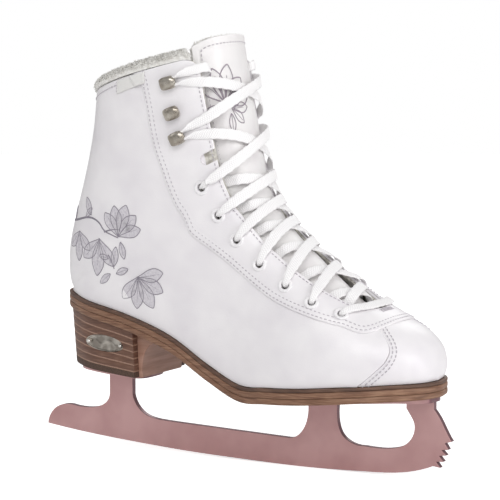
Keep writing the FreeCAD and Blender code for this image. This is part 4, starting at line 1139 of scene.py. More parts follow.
WHITE_LEATHER = CoatedLeather("coated_leather_white")
SHERPA = Fleece("sherpa_fleece")
LINING_FLEECE = Fleece("sherpa_fleece_lining", "#E8E5DD", "#A39E94", 2.4)
TONGUE_CLOTH = CoatedLeather("coated_leather_tongue", "#F3F1F0", "#E9E5E6", 0.9, 0.42)
LACE_BRAID = Woven("lace_braid_cotton", "#FDFCFC", "#E9E6E7", 0.9, 1.1, 0.13, 0.85, 0.25, 0.79)
LABEL_TAFFETA = Woven("label_taffeta", "#F2F1EF", "#D5D2CF", 0.6, 0.6, 0.06, 0.7, 0.1)
FOOTBED_CLOTH = Woven("footbed_cloth", "#DAD7D0", "#B2AEA6", 1.2, 1.2, 0.12, 0.9, 0.2)
SEAM_THREAD = Thread("bonded_thread")
WHITE_ENAMEL = Enamel("enamel_white")
HOOK_NICKEL = Metal("nickel_plate_worn", "#A39B90", "#CFC9BF", 0.25, 0.5)
PIN_NICKEL = Metal("nickel_plate_bright", "#D2CEC8", "#F0EDE8", 0.18, 0.4)
BADGE_NICKEL = Metal("nickel_plate_antique", "#8F8880", "#CFC9C0", 0.3, 0.5)
SCREW_STEEL = Metal("zinc_plated_steel", "#A7A6A4", "#CFCDC9", 0.3, 0.4)
BLADE_LACQUER = RoseLacquer("rose_metallic_lacquer")
SOLE_EDGE = StackedLeather("leather_board_sole", "#6B4936", "#825E48", "#9C7860", 0.8)
WELT_EDGE = StackedLeather("leather_board_welt", "#4B342A", "#5E4435", "#735646", 0.8)
HEEL_STACK = StackedLeather("leather_board_heel", "#57392D", "#694838", "#7D5B49", 0.7)
BREAST_COVER = StackedLeather("leather_board_breast", "#9C7462", "#AB8371", "#BA9382", 2.5, 0.42)
TOP_RUBBER = Solid("rubber_moulded_brown", "#5A4438", "#46342B", 0.7, 0.75, 0.1)
INNER_FOAM = Solid("foam_open_cell", "#E4E0CF", "#CFC9B4", 0.9, 0.95, 0.3)
INNER_BOARD = Solid("fibre_board_tan", "#B99E78", "#9A8160", 1.2, 0.9, 0.1)
PRINT_LINE = Solid("transfer_ink_line", "#8D8792", "#7E7883", 0.7, 0.5, 0.02)
PRINT_FILL = Solid("transfer_ink_fill", "#DAD6DB", "#C6C1C9", 1.4, 0.45, 0.02)
TONGUE_LINE = Solid("transfer_ink_faint", "#A79DA6", "#978D97", 0.7, 0.5, 0.02)
TIP_FILM = Film("lace_tip_film")
LIGHT_LINE = Solid("leather_edge_pale", "#A38270", "#8F6E5D", 0.9, 0.6, 0.05)


# ------------------------------------------------------------------ upper
@dataclass
class Panel:
    """A panel's outline rules: everything that two panels share along a seam."""

    last: Last

    def offset(self, t: Array, v: Array, distance: float) -> tuple[Array, Array]:
        """A (t, v) path moved sideways on the skin, to the left of its travel.

        The side direction is normal x travel; it is turned into steps of t and v with the
        skin's own derivatives.

        Args:
            t: Path, t.
            v: Path, v.
            distance: Millimetres to the left, negative to the right.

        Returns:
            The moved path.
        """
        last = self.last
        points = last.skin(t, v)
        travel = unit(np.gradient(points, axis=0))
        side = np.cross(last.normal(t, v), travel) * distance
        dt = (last.skin(t + 0.001, v) - last.skin(t - 0.001, v)) / 0.002
        dv = (last.skin(t, v + 0.005) - last.skin(t, v - 0.005)) / 0.01
        a, b, c = dot(dt, dt)[:, 0], dot(dt, dv)[:, 0], dot(dv, dv)[:, 0]
        p, q = dot(side, dt)[:, 0], dot(side, dv)[:, 0]
        size = a * c - b * b
        return t + (c * p - b * q) / size, v + (a * q - b * p) / size

    def line(self, t: Array, v: Array, depth: float) -> tuple[Array, Array]:
        """Points and normals of a (t, v) path at a depth."""
        return self.last.at(t, v, depth), self.last.normal(t, v)


def seam_path(side: int) -> tuple[Array, Array]:
    """Toe seam in (t, v) from the throat's base to the sole on one side."""
    t = np.linspace(0.112, 0.555, 90)
    return side * t, toe_seam(t)


@dataclass
class Upper:
    """Vamp, quarters, facing, linings and collar of the boot."""

    last: Last
    edge_radius: float = 0.55
    seam_width: float = 1.1
    seam_depth: float = 0.32
    overlap: float = 0.5
    row_one: float = 1.7
    row_two: float = 4.4
    row_inner: float = 1.9
    toe_rows: tuple[float, float] = (1.9, 4.3)
    collar_row: float = 0.16
    rear_row: float = 0.984
    cuff_start: float = 0.31
    puff: float = 0.35
    panel: Panel = field(init=False)
    threads: list[Form] = field(default_factory=list)

    def __post_init__(self) -> None:
        """Make the outline helper."""
        self.panel = Panel(self.last)

    def sew(self, t: Array, v: Array, depth: float, pitch: float = 2.8) -> Array:
        """Sew a row of stitches along a path and return its points for the groove."""
        points, normals = self.panel.line(t, v, depth)
        self.threads.append(stitch_row(points, normals, pitch))
        return points

    def build(self) -> None:
        """Make every panel in the order in which the boot is closed."""
        for side in Side:
            self.quarter(side)
        self.vamp()
        self.facing()
        self.linings()
        self.collar_roll()
        self.label()
        make("upper_stitching", join(self.threads), SEAM_THREAD, Body.BOOT)

    def bores(self, side: Side, radius: float) -> Form:
        """Cylinders through the skin at every eyelet, and at every hook's rivet."""
        spots = [(v, t, radius) for v, t in EYELETS]
        spots += [(v, t, RIVET_RADIUS + FIT) for v, t in HOOKS]
        angle = turns(28)
        forms = []
        for v, t, r in spots:
            place, out, ahead, up = self.last.frame(side.value * t, v, 0.0)
            ring = ahead * np.cos(angle)[:, None] * r + up * np.sin(angle)[:, None] * r
            forms.append(tube(np.stack([place + ring - out * 9, place + ring + out * 9])))
        return join(forms)

    def notch(self, side: Side) -> Form:
        """Cutter of the flex notch: a round-ended slot open towards the throat."""
        t, v = side.value * NOTCH[1], NOTCH[0]
        place, out, ahead, up = self.last.frame(t, v, 0.0)
        width = NOTCH_WIDTH
        centre = place - ahead * (NOTCH_REACH - width / 2) * 0.5
        angle = np.linspace(PI / 2, 3 * PI / 2, 19)
        ring = [centre + (ahead * math.cos(a) + up * math.sin(a)) * width / 2 for a in angle]
        ring += [centre + up * half + ahead * NOTCH_OPEN for half in (-width / 2, width / 2)]
        loop = np.array(ring)
        return tube(np.stack([loop - out * (LEATHER + GAP / 2), loop + out * 5]))

    def side_grid(self, sign: int, a: Array, b: Array, past: float = 0.0
                  ) -> tuple[Array, Array]:
        """Skin coordinates over one side of the boot, from toe seam to collar.

        Args:
            sign: Side, as the sign of t.
            a: Shares from the throat back to the rear seam (1, columns).
            b: Shares from the toe seam up to the collar (rows, 1).
            past: How far the front edge stands past the throat's edge, in t.

        Returns:
            The grid's t and v.
        """
        start = toe_seam(lerp(THROAT_EDGE[0][1], TOE_RIM, a)) + STEP
        v = lerp(start, collar(lerp(table(THROAT_EDGE, 21), 1, a)), b)
        gap = GAP / 2 / (PI * REAR_RADIUS * self.last.wide)
        rim = self.last.end(v) - gap * np.clip(v - HEEL_STATION + 1, 0, 1)
        return sign * lerp(table(THROAT_EDGE, v) - past, rim, a), v

    def quarter(self, side: Side) -> None:
        """One side panel: rounded edges, seams pressed in, a swell between seam rows.

        Rows run from the toe seam (with its step) to the collar, columns from the throat
        edge back to the rear seam, where both quarters meet edge to edge.
        """
        s = side.value
        a = spread(110, (0.0, 0.003, 0.008, 0.015))[None, :]
        b = spread(300, (0.0, 0.0008, 0.002, 0.004, 0.007))[:, None]
        t, v = self.side_grid(s, a, b)
        skin = self.last.skin(t, v)
        edges = edge_distance(skin, "abc")
        rear = edge_distance(skin, "d")
        drop = np.maximum(round_over(edges, self.edge_radius),
                          round_over(rear, 0.35) * (v > HEEL_STATION - 2))
        seam_gap = np.linalg.norm(skin - skin[:1], axis=-1)
        proud = self.overlap * (1 - smooth(seam_gap / 7.0))
        lines = []
        tv = seam_path(s)
        away = 1.0 if s < 0 else -1.0
        for row in self.toe_rows:
            lines.append(self.sew(*self.panel.offset(*tv, away * row), -proud_at(row)))
        tv = (s * np.linspace(0.56, 0.975, 150), np.zeros(150))
        lines.append(self.sew(tv[0], collar(tv[0]) - self.collar_row, 0.0))
        back_v = np.linspace(15.8, 20.6, 90)
        lines.append(self.sew(np.full(90, s * self.rear_row), back_v, 0.0))
        dip = groove(skin, lines, self.seam_width) * self.seam_depth
        relief = proud - drop - dip + 0.12 * lumps(skin, 34.0, 5 + s)
        outer = self.last.at(t, v, -relief)
        inner = self.last.at(t, v, LEATHER)
        form = shell(outer, inner)
        name = "quarter_" + side.name.lower()
        piece = make(name, form, WHITE_LEATHER, Body.BOOT, (name,))
        cut(piece, join([self.bores(side, EYELET_BARREL + FIT), self.notch(side)]))

    def vamp(self) -> None:
        """Toe piece: its rear edge runs under the quarters' raised edge."""
        a = np.linspace(0, 1, 171)[None, :]
        b = spread(70, (0.0, 0.002, 0.006, 0.012))[:, None]
        v = lerp(0.03, toe_seam((2 * a - 1) * TOE_RIM) - STEP, b)
        t = (2 * a - 1) * self.last.end(v)
        skin = self.last.skin(t, v)
        drop = round_over(edge_distance(skin, "b"), 0.5)
        outer = self.last.at(t, v, drop - 0.1 * lumps(skin, 38.0, 11))
        inner = self.last.at(t, v, LEATHER)
        make("vamp", shell(outer, inner), WHITE_LEATHER, Body.BOOT, ("vamp",))

    def facing(self) -> None:
        """U-shaped facing: padded between its double outer seam, one row at its inner edge."""
        count = 420
        b = np.linspace(0, 1, count)[:, None]
        a = spread(20, (0.0, 0.02, 0.05, 0.09))[None, :]
        side = np.where(b < 0.5, -1.0, 1.0)
        p = np.abs(2 * b - 1)
        turn = 0.2
        angle = np.minimum(p / turn, 1) * PI / 2
        wide = (np.sin(angle) + 0.12 * np.sin(3 * angle)) / 0.88
        f = np.clip((p - turn) / (1 - turn), 0, 1)
        v_in = lerp(6.0, collar(table(THROAT_EDGE, 21)), f)
        v_out = lerp(5.6, collar(table(FACING_EDGE, 21)), f)
        low = p < turn
        t_in = np.where(low, THROAT_EDGE[0][1] * np.sin(angle), table(THROAT_EDGE, v_in))
        t_out = np.where(low, FACING_EDGE[0][1] * wide, table(FACING_EDGE, v_out))
        v_in = np.where(low, 6.0 - (6.0 - THROAT_BASE) * np.cos(angle), v_in)
        v_out = np.where(low, 5.6 - (5.6 - FACING_FRONT) * np.cos(angle), v_out)
        t = side * lerp(t_in, t_out, a)
        v = lerp(v_in, v_out, a)
        v = np.where(low, v, lerp(v, collar(t), f**6))
        skin = self.last.skin(t, v)
        drop = round_over(edge_distance(skin), self.edge_radius)
        lines = []
        for column, inset, parts in ((-1, self.row_one, ((6, -6),)),
                                     (-1, self.row_two, ((6, -6),)),
                                     (0, self.row_inner, ((8, 188), (232, -8)))):
            row = self.inset(t[:, column], v[:, column], inset, t[:, 10], v[:, 10])
            for first, end in parts:
                lines.append(self.sew(row[0][first:end], row[1][first:end], FACE))
        bar_t = np.linspace(-0.05, 0.05, 12)
        for row in (5.26, 5.2, 5.14):
            self.sew(bar_t, np.full(12, row), FACE - 0.1, 1.5)
        dip = groove(skin, lines, self.seam_width) * self.seam_depth
        border = edge_distance(skin, "d")
        between_rows = np.exp(-((border - 3.05) / 1.1) ** 2)
        swell = self.puff * between_rows + 0.25 * smooth(edge_distance(skin, "cd") / 7.0)
        relief = swell - drop - dip + 0.1 * lumps(skin, 22.0, 21)
        outer = self.last.at(t, v, FACE - relief)
        inner = self.last.at(t, v, -GAP)
        piece = make("eyestay", shell(outer, inner), WHITE_LEATHER, Body.BOOT,
                     ("eyestay",))
        cut(piece, join([self.bores(Side.OUTER, EYELET_BARREL + FIT),
                         self.bores(Side.INNER, EYELET_BARREL + FIT),
                         self.notch(Side.OUTER), self.notch(Side.INNER)]))

    def inset(self, t: Array, v: Array, distance: float, t_goal: Array,
              v_goal: Array) -> tuple[Array, Array]:
        """A (t, v) path moved sideways by a distance, to the side of a second path."""
        goal = self.last.skin(t_goal, v_goal)
        moved = [self.panel.offset(t, v, step) for step in (distance, -distance)]
        gaps = [np.linalg.norm(self.last.skin(*path) - goal, axis=-1).mean()
                for path in moved]
        return moved[0] if gaps[0] < gaps[1] else moved[1]

    def linings(self) -> None:
        """Fleece linings: their edge stands a little past the throat, curled and soft."""
        for side in Side:
            s = side.value
            a = spread(70, (0.0, 0.004, 0.01, 0.018))[None, :]
            b = spread(150, (0.0, 0.002, 0.005))[:, None]
            t, v = self.side_grid(s, a, b, 0.004)
            depth = lining_depth(t, v)
            skin = self.last.skin(t, v)
            drop = round_over(edge_distance(skin, "bc"), 0.8)
            curls = 0.35 * lumps(skin, 4.2, 31 + s)
            inner_face = depth + LINING - 0.3 - 0.4 * drop + 0.3 * curls
            form = shell(self.last.at(t, v, depth + 0.5 * drop),
                         self.last.at(t, v, inner_face))
            name = "lining_" + side.name.lower()
            piece = make(name, form, LINING_FLEECE, Body.BOOT, (name,))
            cut(piece, self.bores(side, EYELET_BARREL + FIT))
        a = np.linspace(0, 1, 61)[None, :]
        b = np.linspace(0, 1, 31)[:, None]
        v = lerp(0.35, toe_seam((2 * a - 1) * TOE_RIM) - STEP, b)
        t = (2 * a - 1) * self.last.end(v)
        depth = lining_depth(t, v) + GAP / 2
        form = shell(self.last.at(t, v, depth), self.last.at(t, v, depth + LINING))
        make("vamp_lining", form, LINING_FLEECE, Body.BOOT, ("vamp_lining",))

    def collar_roll(self) -> None:
        """Fleece roll over the top edge: half-round section, lumpy with curls, tufted."""
        low = self.cuff_start
        inside = LEATHER + STIFFENER + LINING + 2 * GAP
        a = np.linspace(0, 1, 41)[None, :]
        b = np.linspace(0, 1, 420)[:, None]
        t = lerp(low, 2 - low, b)
        around = np.where(t <= 1, t, t - 2) + 0 * a
        level = collar(around)
        base = self.last.at(around, level + 0.02, lerp(-FACING - GAP, inside, a) + 0 * t)
        ends = smooth(np.minimum(b, 1 - b) / 0.012)
        rise = 0.8 + (CUFF_HEIGHT - 1.9) * np.sin(PI * a) ** 0.62 * (0.35 + 0.65 * ends)
        lean = (a - 0.5) * 1.6 * (1 - (2 * a - 1) ** 2)
        up = unit(self.last.skin(around, np.full(around.shape, 21.5))
                  - self.last.skin(around, np.full(around.shape, 20.9)))
        out = self.last.normal(around, np.full(around.shape, 21.0))
        top = base + up * rise[..., None] - out * lean[..., None]
        facing_out = unit(up * np.sin(PI * a)[..., None] + out * np.cos(PI * a)[..., None])
        curls = lumps(top, 3.4, 41) * 0.42 + lumps(top, 1.7, 42) * 0.22
        free = np.sin(PI * a) ** 0.5 * ends
        top = top + facing_out * (curls * free)[..., None]
        form = shell(top, base)
        tufts = fibres(top, facing_out, 9000, 1.9, 43)
        roll = make("collar_cuff", join([form, tufts]), SHERPA, Body.BOOT,
                    ("collar_cuff",), 80.0)

    def label(self) -> None:
        """Plain woven tag with raised selvages and fold, its middle left blank."""
        a = np.linspace(0, 1, 61)[None, :]
        b = np.linspace(0, 1, 25)[:, None]
        front, rear = 0.485, 0.621
        t = lerp(front, rear, a) + 0 * b
        v = collar(t) - lerp(0.40, 0.04, b)
        over = smooth((table(FACING_EDGE, v) + 0.012 - t) / 0.014)
        lift = GAP + (FACING + GAP) * over
        skin = self.last.skin(-t, v)
        drop = round_over(edge_distance(skin), 0.25)
        hem = 0.1 * np.exp(-((edge_distance(skin) - 1.2) / 0.5) ** 2)
        outer = self.last.at(-t, v, -(lift + LABEL + 0.1 + hem - drop))
        inner = self.last.at(-t, v, -lift)
        run = np.stack([a * 32 + 0 * b, b * 16 + 0 * a], -1)
        make("collar_label", shell(outer, inner, run), LABEL_TAFFETA, Body.BOOT,
             ("collar_label",))
        for share in (0.04, 0.96):
            row_t = np.full(14, -lerp(front, rear, share))
            row_v = collar(row_t) - np.linspace(0.37, 0.07, 14)
            points, normals = self.panel.line(row_t, row_v, -(FACING + GAP + LABEL) * 0.9)
            self.threads.append(stitch_row(points, normals, 1.6, 1.2, 0.2))


def proud_at(distance: float, overlap: float = 0.5) -> float:
    """Height of the quarters' raised edge this far behind the toe seam."""
    return overlap * (1 - float(smooth(np.array(distance / 7.0))))


def fibres(grid: Array, normals: Array, count: int, length: float, seed: int) -> Form:
    """Curled fibre tufts on a grid of points: slim closed pyramids leaning at random.

    Args:
        grid: Points (rows, columns, 3).
        normals: Outward directions there.
        count: Number of tufts.
        length: Typical length in millimetres.
        seed: Seed of the random draws.

    Returns:
        One form.
    """
    rng = np.random.default_rng(seed)
    rows, columns = grid.shape[:2]
    i = rng.uniform(0, rows - 1.001, count)
    j = rng.uniform(columns * 0.05, columns * 0.95 - 1, count)
    r, c = i.astype(int), j.astype(int)
    f, g = (i - r)[:, None], (j - c)[:, None]
    place = lerp(lerp(grid[r, c], grid[r, c + 1], g),
                 lerp(grid[r + 1, c], grid[r + 1, c + 1], g), f)
    out = unit(normals[r, c])
    lean = unit(rng.normal(size=(count, 3)))
    lean = unit(lean - out * dot(lean, out))
    side = np.cross(out, lean)
    size = length * rng.uniform(0.5, 1.15, size=(count, 1))
    base = 0.34 * rng.uniform(0.7, 1.2, size=(count, 1))
    root = place - out * 0.35
    bend = root + out * size * 0.62 + lean * size * 0.35
    tip = bend + out * size * 0.05 + lean * size * 0.42
    thin = base * 0.75
    rings = [root + side * base, root - side * base + lean * base, root - side * base * 0.2
             - lean * base, bend + side * thin, bend - side * thin, bend + out * thin, tip]
    points = np.stack(rings, 1).reshape(-1, 3)
    start = (np.arange(count) * 7)[:, None]
    walls = np.array([[0, 1, 4, 3], [1, 2, 5, 4], [2, 0, 3, 5]])
    caps = np.array([[0, 2, 1], [3, 4, 6], [4, 5, 6], [5, 3, 6]])
    quads = (start[:, None] + walls[None]).reshape(-1, 4)
    triangles = (start[:, None] + caps[None]).reshape(-1, 3)
    return Form(points, [quads, triangles]).outward()


# ------------------------------------------------------------------ tongue
@dataclass
class Tongue:
    """Padded tongue: coated face with a stitched border, foam, fleece lining and edge."""

    last: Last
    rows: int = 190
    columns: int = 81
    seam_inset: float = 6.0
    seam_low: float = 15.5
    fold: tuple[float, float] = (5.3, 8.2)
    fold_depth: float = 4.0

    def grid(self, inset: float) -> tuple[Array, Array]:
        """Skin coordinates (rows, columns) over the tongue, drawn in at its sides."""
        a = spread(self.columns, (0.0, 0.006, 0.014))[None, :]
        b = spread(self.rows, (0.0, 0.0015, 0.004))[:, None]
        top = 21.9 - 0.35 * np.abs(2 * a - 1) ** 2.5
        v = lerp(TONGUE_START, top, b)
        return (2 * a - 1) * (table(TONGUE_HALF, v) - inset), v

    def build(self) -> None:
        """Make the face, the fleece behind it and the stitching, blended at the sewn end."""
        t, v = self.grid(0.0)
        skin = self.last.skin(t, v)
        border = edge_distance(skin, "bcd")
        drop = round_over(border, 0.6)
        seam = np.exp(-(border - self.seam_inset) ** 2)
        quilt = 0.25 * smooth((border - self.seam_inset) / 5.0)
        upper = smooth((v - self.seam_low) / 0.8)
        dip = 0.45 * seam * upper
        depth = tongue_depth(t, v)
        relief = quilt * upper - dip - drop + 0.12 * lumps(skin, 24.0, 61)
        face = self.last.at(t, v, depth - relief)
        back = self.last.at(t, v, depth + TONGUE_FACING)
        piece = make("tongue_facing", shell(face, back), TONGUE_CLOTH, Body.TONGUE,
                     ("tongue_facing",))
        self.bend(piece)
        path = self.border_path(15.6, 21.2, self.seam_inset / 110.0, 0.34, 0.7, 60)
        points = self.last.at(*path, tongue_depth(*path) + 0.15)
        piece = make("tongue_stitching", stitch_row(points, self.last.normal(*path)),
                     SEAM_THREAD, Body.TONGUE)
        start = TONGUE_FACING + GAP + TONGUE_FOAM + GAP
        drop = round_over(border, 1.2)
        curls = 0.35 * lumps(skin, 3.6, 63) + 0.18 * lumps(skin, 1.8, 64)
        front = self.last.at(t, v, depth + start + 0.3 * drop)
        rear = self.last.at(t, v, depth + start + TONGUE_LINING - 0.4 - 0.4 * drop + curls * 0.6)
        piece = make("tongue_lining", shell(front, rear), LINING_FLEECE, Body.TONGUE,
                     ("tongue_lining",), 80.0)
        self.bend(piece)
        self.edge_fleece()

    def bend(self, piece: Object) -> None:
        """Take the piece off its body and bake its place into its mesh; the fold's two points are
        worked out but not used.
        """
        piece.parent = None
        low, high = (self.last.at(0.0, v, self.fold_depth) * MM for v in self.fold)
        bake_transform(piece)

    @staticmethod
    def border_path(low: float, high: float, inset: float, crown: float, power: float,
                    count: int) -> tuple[Array, Array]:
        """Path up one side, over the top and down the other.

        Args:
            low: Station at which it starts and ends.
            high: Station at which it turns over the top.
            inset: Distance from the border, in t.
            crown: Rise of the top's middle, in stations.
            power: Power of the sine that shapes the top.
            count: Samples of each of the three stretches.

        Returns:
            The path's t and v.
        """
        v = np.linspace(low, high, count)
        half = table(TONGUE_HALF, v) - inset
        bend = np.linspace(0, PI, count)
        v_top = high + crown * np.sin(bend) ** power
        return (np.concatenate([-half[:-1], -np.cos(bend) * half[-1], half[-2::-1]]),
                np.concatenate([v[:-1], v_top, v[-2::-1]]))

    def edge_fleece(self) -> None:
        """Fleece that shows round the tongue's upper border, between face and lining."""
        t, v = self.border_path(16.2, 21.3, 0.006, 0.45, 0.6, 90)
        depth = tongue_depth(t, v) + TONGUE_FACING + GAP + TONGUE_FOAM / 2 + 0.2
        middle = self.last.at(t, v, depth)
        middle, out = resample(middle, self.last.normal(t, v), 0.55)
        axes = path_axes(middle, out)
        angle = turns(20)
        ends = smooth(np.minimum(np.arange(len(middle)), np.arange(len(middle))[::-1]) / 14.0)
        size = (0.6 + 0.4 * ends)[:, None, None]
        spin = (axes[:, 1, None] * np.cos(angle)[:, None] * 1.9
                + axes[:, 2, None] * np.sin(angle)[:, None] * 2.7)
        rings = middle[:, None] + spin * size
        away = unit(spin)
        curls = lumps(rings, 3.0, 66) * 0.35 + lumps(rings, 1.6, 67) * 0.2
        rings = rings + away * curls[..., None]
        tufts = fibres(rings, away, 2600, 1.7, 68)
        make("tongue_edge_fleece", join([tube(rings), tufts]), SHERPA, Body.TONGUE,
             (), 80.0)


# ------------------------------------------------------------------ laces
@dataclass
class Stop:
    """One control point of a lace: its place, sideways direction and width."""

    place: Array
    side: Array
    width: float


@dataclass
class Lacing:
    """Flat braided lace: toe bar, six crossed rows, hooks, and ends tucked behind the lining.

    Every strand follows a clamped quadratic B-spline through its stops; the braid is a
    flattened tube that narrows and thickens where it is bunched in an eyelet.
    """

    last: Last
    step: float = 0.7
    bunched: float = 0.55

    def braid(self, stops: Sequence[Stop], seed: int) -> Form:
        """Carry the lace's section along its stops.

        The section is a superellipse, width by thickness; each ring stands square to the
        path with its long axis along the interpolated sideways direction.
        """
        rows = np.array([np.concatenate([s.place, s.side, [s.width]]) for s in stops])
        fine = spline(rows, 400)
        length = along(fine[:, :3])[-1]
        count = max(12, int(length / self.step))
        goal = np.linspace(0, length, count)
        rows = even(fine, count)
        middle, side, width = rows[:, :3], rows[:, 3:6], rows[:, 6:7]
        ahead = unit(np.gradient(middle, axis=0))
        side = unit(side - ahead * dot(side, ahead))
        up = np.cross(ahead, side)
        angle = turns(22)
        across = np.sign(np.cos(angle)) * np.abs(np.cos(angle)) ** 0.72
        high = np.sign(np.sin(angle)) * np.abs(np.sin(angle)) ** 0.8
        thick = LACE_THICKNESS / 2 * (1 + self.bunched * np.clip(1 - width / LACE_WIDTH, 0, 1))
        hollow = 1 - 0.16 * np.exp(-(across / 0.35) ** 2)[None, :]
        wave = 0.05 * np.sin(goal[:, None] * 1.1 + seed) + 0.97
        spread_out = width / 2 * wave * across[None, :]
        rise = thick * high[None, :] * hollow
        rings = middle[:, None] + side[:, None] * spread_out[..., None]
        rings = rings + up[:, None] * rise[..., None]
        around = angle[None, :] / (2 * PI) * 2 * LACE_WIDTH
        uv = np.stack([around + 0 * goal[:, None], goal[:, None] + 0 * around], -1)
        return tube(rings, uv)

    def flat(self, stops: Sequence[tuple[float, float, float, float]]) -> list[Stop]:
        """Stops lying flat on the boot from rows of (t, v, depth, width)."""
        rows = np.array(stops)
        places = self.last.at(rows[:, 0], rows[:, 1], rows[:, 2])
        run = unit(places[-1] - places[0])
        sides = unit(np.cross(run, self.last.normal(rows[:, 0], rows[:, 1])))
        return [Stop(p, s, w) for p, s, w in zip(places, sides, rows[:, 3])]

    def leave(self, t0: float, edge: float, cross: float, high: bool) -> list[tuple]:
        """Stops from inside an eyelet, over its ring and the facing, to the crossing."""
        middle = CROSS_HIGH if high else CROSS_LOW + 0.15
        return [(-t0, LACE_IN_BORE, LACE_NECK), (-t0, ABOVE_RING, LACE_NECK),
                (-t0 + PAST_RING, OFF_RING, LACE_SPREAD), (-edge * 0.95, OVER, LACE_WIDTH),
                (-edge * 0.67, middle, LACE_WIDTH), (0.0, cross, LACE_WIDTH)]

    def begin(self, t0: float, edge: float, cross: float, high: bool) -> list[tuple]:
        """Stops from behind an eyelet, up past the throat's edge, to the crossing."""
        middle = CROSS_HIGH + 0.1 if high else CROSS_LOW + 0.3
        return [(-t0, BEHIND_BORE, LACE_NECK), (-t0, UNDER, LACE_NECK),
                (-t0 + PAST_BORE, UNDER, LACE_SPREAD), (-edge * 0.9, UNDER, LACE_WIDTH),
                (-edge * 0.6, middle, LACE_WIDTH), (0.0, cross, LACE_WIDTH)]

    def strand(self, side: int, row: int, high: bool) -> list[Stop]:
        """Lace from one row's eyelet, counted from the top, to the next row's other side."""
        (v0, t0), (v1, t1) = EYELETS[row], EYELETS[row - 1]
        edge0, edge1 = float(table(THROAT_EDGE, v0)), float(table(THROAT_EDGE, v1))
        cross = CROSS_HIGH if high else CROSS_LOW
        start = self.begin if row == len(EYELETS) - 1 else self.leave
        stops = start(t0, edge0, cross, high)
        stops += [(edge1 * 0.6, cross + 0.1, LACE_WIDTH), (edge1 * 0.9, UNDER, LACE_WIDTH),
                  (t1 - PAST_BORE, UNDER, LACE_SPREAD), (t1, UNDER, LACE_NECK),
                  (t1, BEHIND_BORE, LACE_NECK)]
        return self.flat([(-side * t, lerp(v0, v1, (t0 + t) / (t0 + t1)), depth, width)
                          for t, depth, width in stops])

    def toe_bar(self) -> list[Stop]:
        """Lowest lace, straight across the outside between the two front eyelets."""
        v0, t0 = EYELETS[-1]
        stops = [(-t0, LACE_IN_BORE, LACE_NECK), (-t0, ABOVE_RING, LACE_NECK),
                 (-t0 + PAST_RING, OFF_RING, LACE_SPREAD), (-0.08, OVER, LACE_WIDTH),
                 (0.0, OVER - 0.2, LACE_WIDTH), (0.08, OVER, LACE_WIDTH),
                 (t0 - PAST_RING, OFF_RING, LACE_SPREAD), (t0, ABOVE_RING, LACE_NECK),
                 (t0, LACE_IN_BORE, LACE_NECK)]
        return self.flat([(t, v0 - 0.42 * (1 - (t / t0) ** 2), depth, width)
                          for t, depth, width in stops])

    def entry(self, side: int, index: int, below: bool) -> list[Stop]:
        """Stops from a hook's mouth to its back bend, turning the lace on its edge."""
        sign = -1 if below else 1
        v, t = HOOKS[index]
        place, out, ahead, up = self.last.frame(side * t, v, FACE)
        stops = []
        for forward, upward, rise, width, on_edge in (
                (10.0, 2.9, 1.6, 5.6, 0.35), (4.5, LOOP_HALF, LOOP_RISE, LACE_EDGEWISE, 1.0),
                (-2.4, LOOP_HALF, LOOP_RISE, LACE_EDGEWISE, 1.0),
                (-2.9, 0.15, LOOP_RISE, LACE_EDGEWISE, 1.0)):
            spot_here = place + ahead * forward + up * sign * upward + out * rise
            stops.append(Stop(spot_here, unit(out * on_edge + up * (1 - on_edge)), width))
        return stops

    def hooked(self, side: int, goal: int, high: bool, first: Optional[int]) -> list[Stop]:
        """Lace from the top eyelet, or from a hook, up to a hook on the other side."""
        far = -side
        goal_v, goal_t = HOOKS[goal]
        v0, t0 = EYELETS[0] if first is None else HOOKS[first]
        cross = CROSS_HIGH if high else CROSS_LOW
        edge0, edge1 = float(table(THROAT_EDGE, v0)), float(table(THROAT_EDGE, goal_v))
        if first is None:
            stops = self.leave(t0, edge0, cross, high)
        else:
            stops = [(-edge0 * 1.04, OVER, 6.6), (-edge0 * 0.9, OVER - 0.1, LACE_WIDTH),
                     (-edge0 * 0.5, cross, LACE_WIDTH), (0.0, cross, LACE_WIDTH)]
        stops += [(edge1 * 0.5, cross, LACE_WIDTH), (edge1 * 0.9, OVER - 0.1, 6.6),
                  (edge1 * 1.04, OVER, 6.6)]
        run = unit(self.last.at(far * goal_t, goal_v, OVER) - self.last.at(side * t0, v0, OVER))
        made = []
        for t, depth, width in stops:
            signed = -side * t
            v = lerp(v0, goal_v, (t0 + t) / (t0 + goal_t))
            flat = unit(np.cross(run, self.last.normal(signed, v)))
            flat = flat if flat[2] > 0 else -flat
            made.append(Stop(self.last.at(signed, v, depth), flat, width))
        if first is not None:
            made = self.entry(side, first, False)[::-1] + made
        return made + self.entry(far, goal, True)

    def tail(self, side: int) -> list[Stop]:
        """Free end: from the top hook back to the throat, tucked in behind its edge."""
        stops = self.entry(side, 0, False)[::-1]
        for t, v, depth, width in ((0.294, 20.60, OVER, 6.4), (0.245, 20.60, OVER + 0.3, 6.0),
                                   (0.219, 20.52, 1.9, 5.4)):
            place, _, _, up = self.last.frame(side * t, v, depth)
            stops.append(Stop(place, up, width))
        for t, v, depth, width in ((0.235, 20.42, TUCKED - 0.95, 5.0),
                                   (0.274, 20.25, TUCKED, 4.4), (0.304, 19.95, TUCKED, 3.6),
                                   (0.321, 19.50, TUCKED, 3.0)):
            place, out, _, _ = self.last.frame(side * t, v, depth)
            flat = unit(np.cross(out, place - stops[-1].place))
            flat = flat if float(flat @ stops[-1].side) > 0 else -flat
            stops.append(Stop(place, flat, width))
        return stops

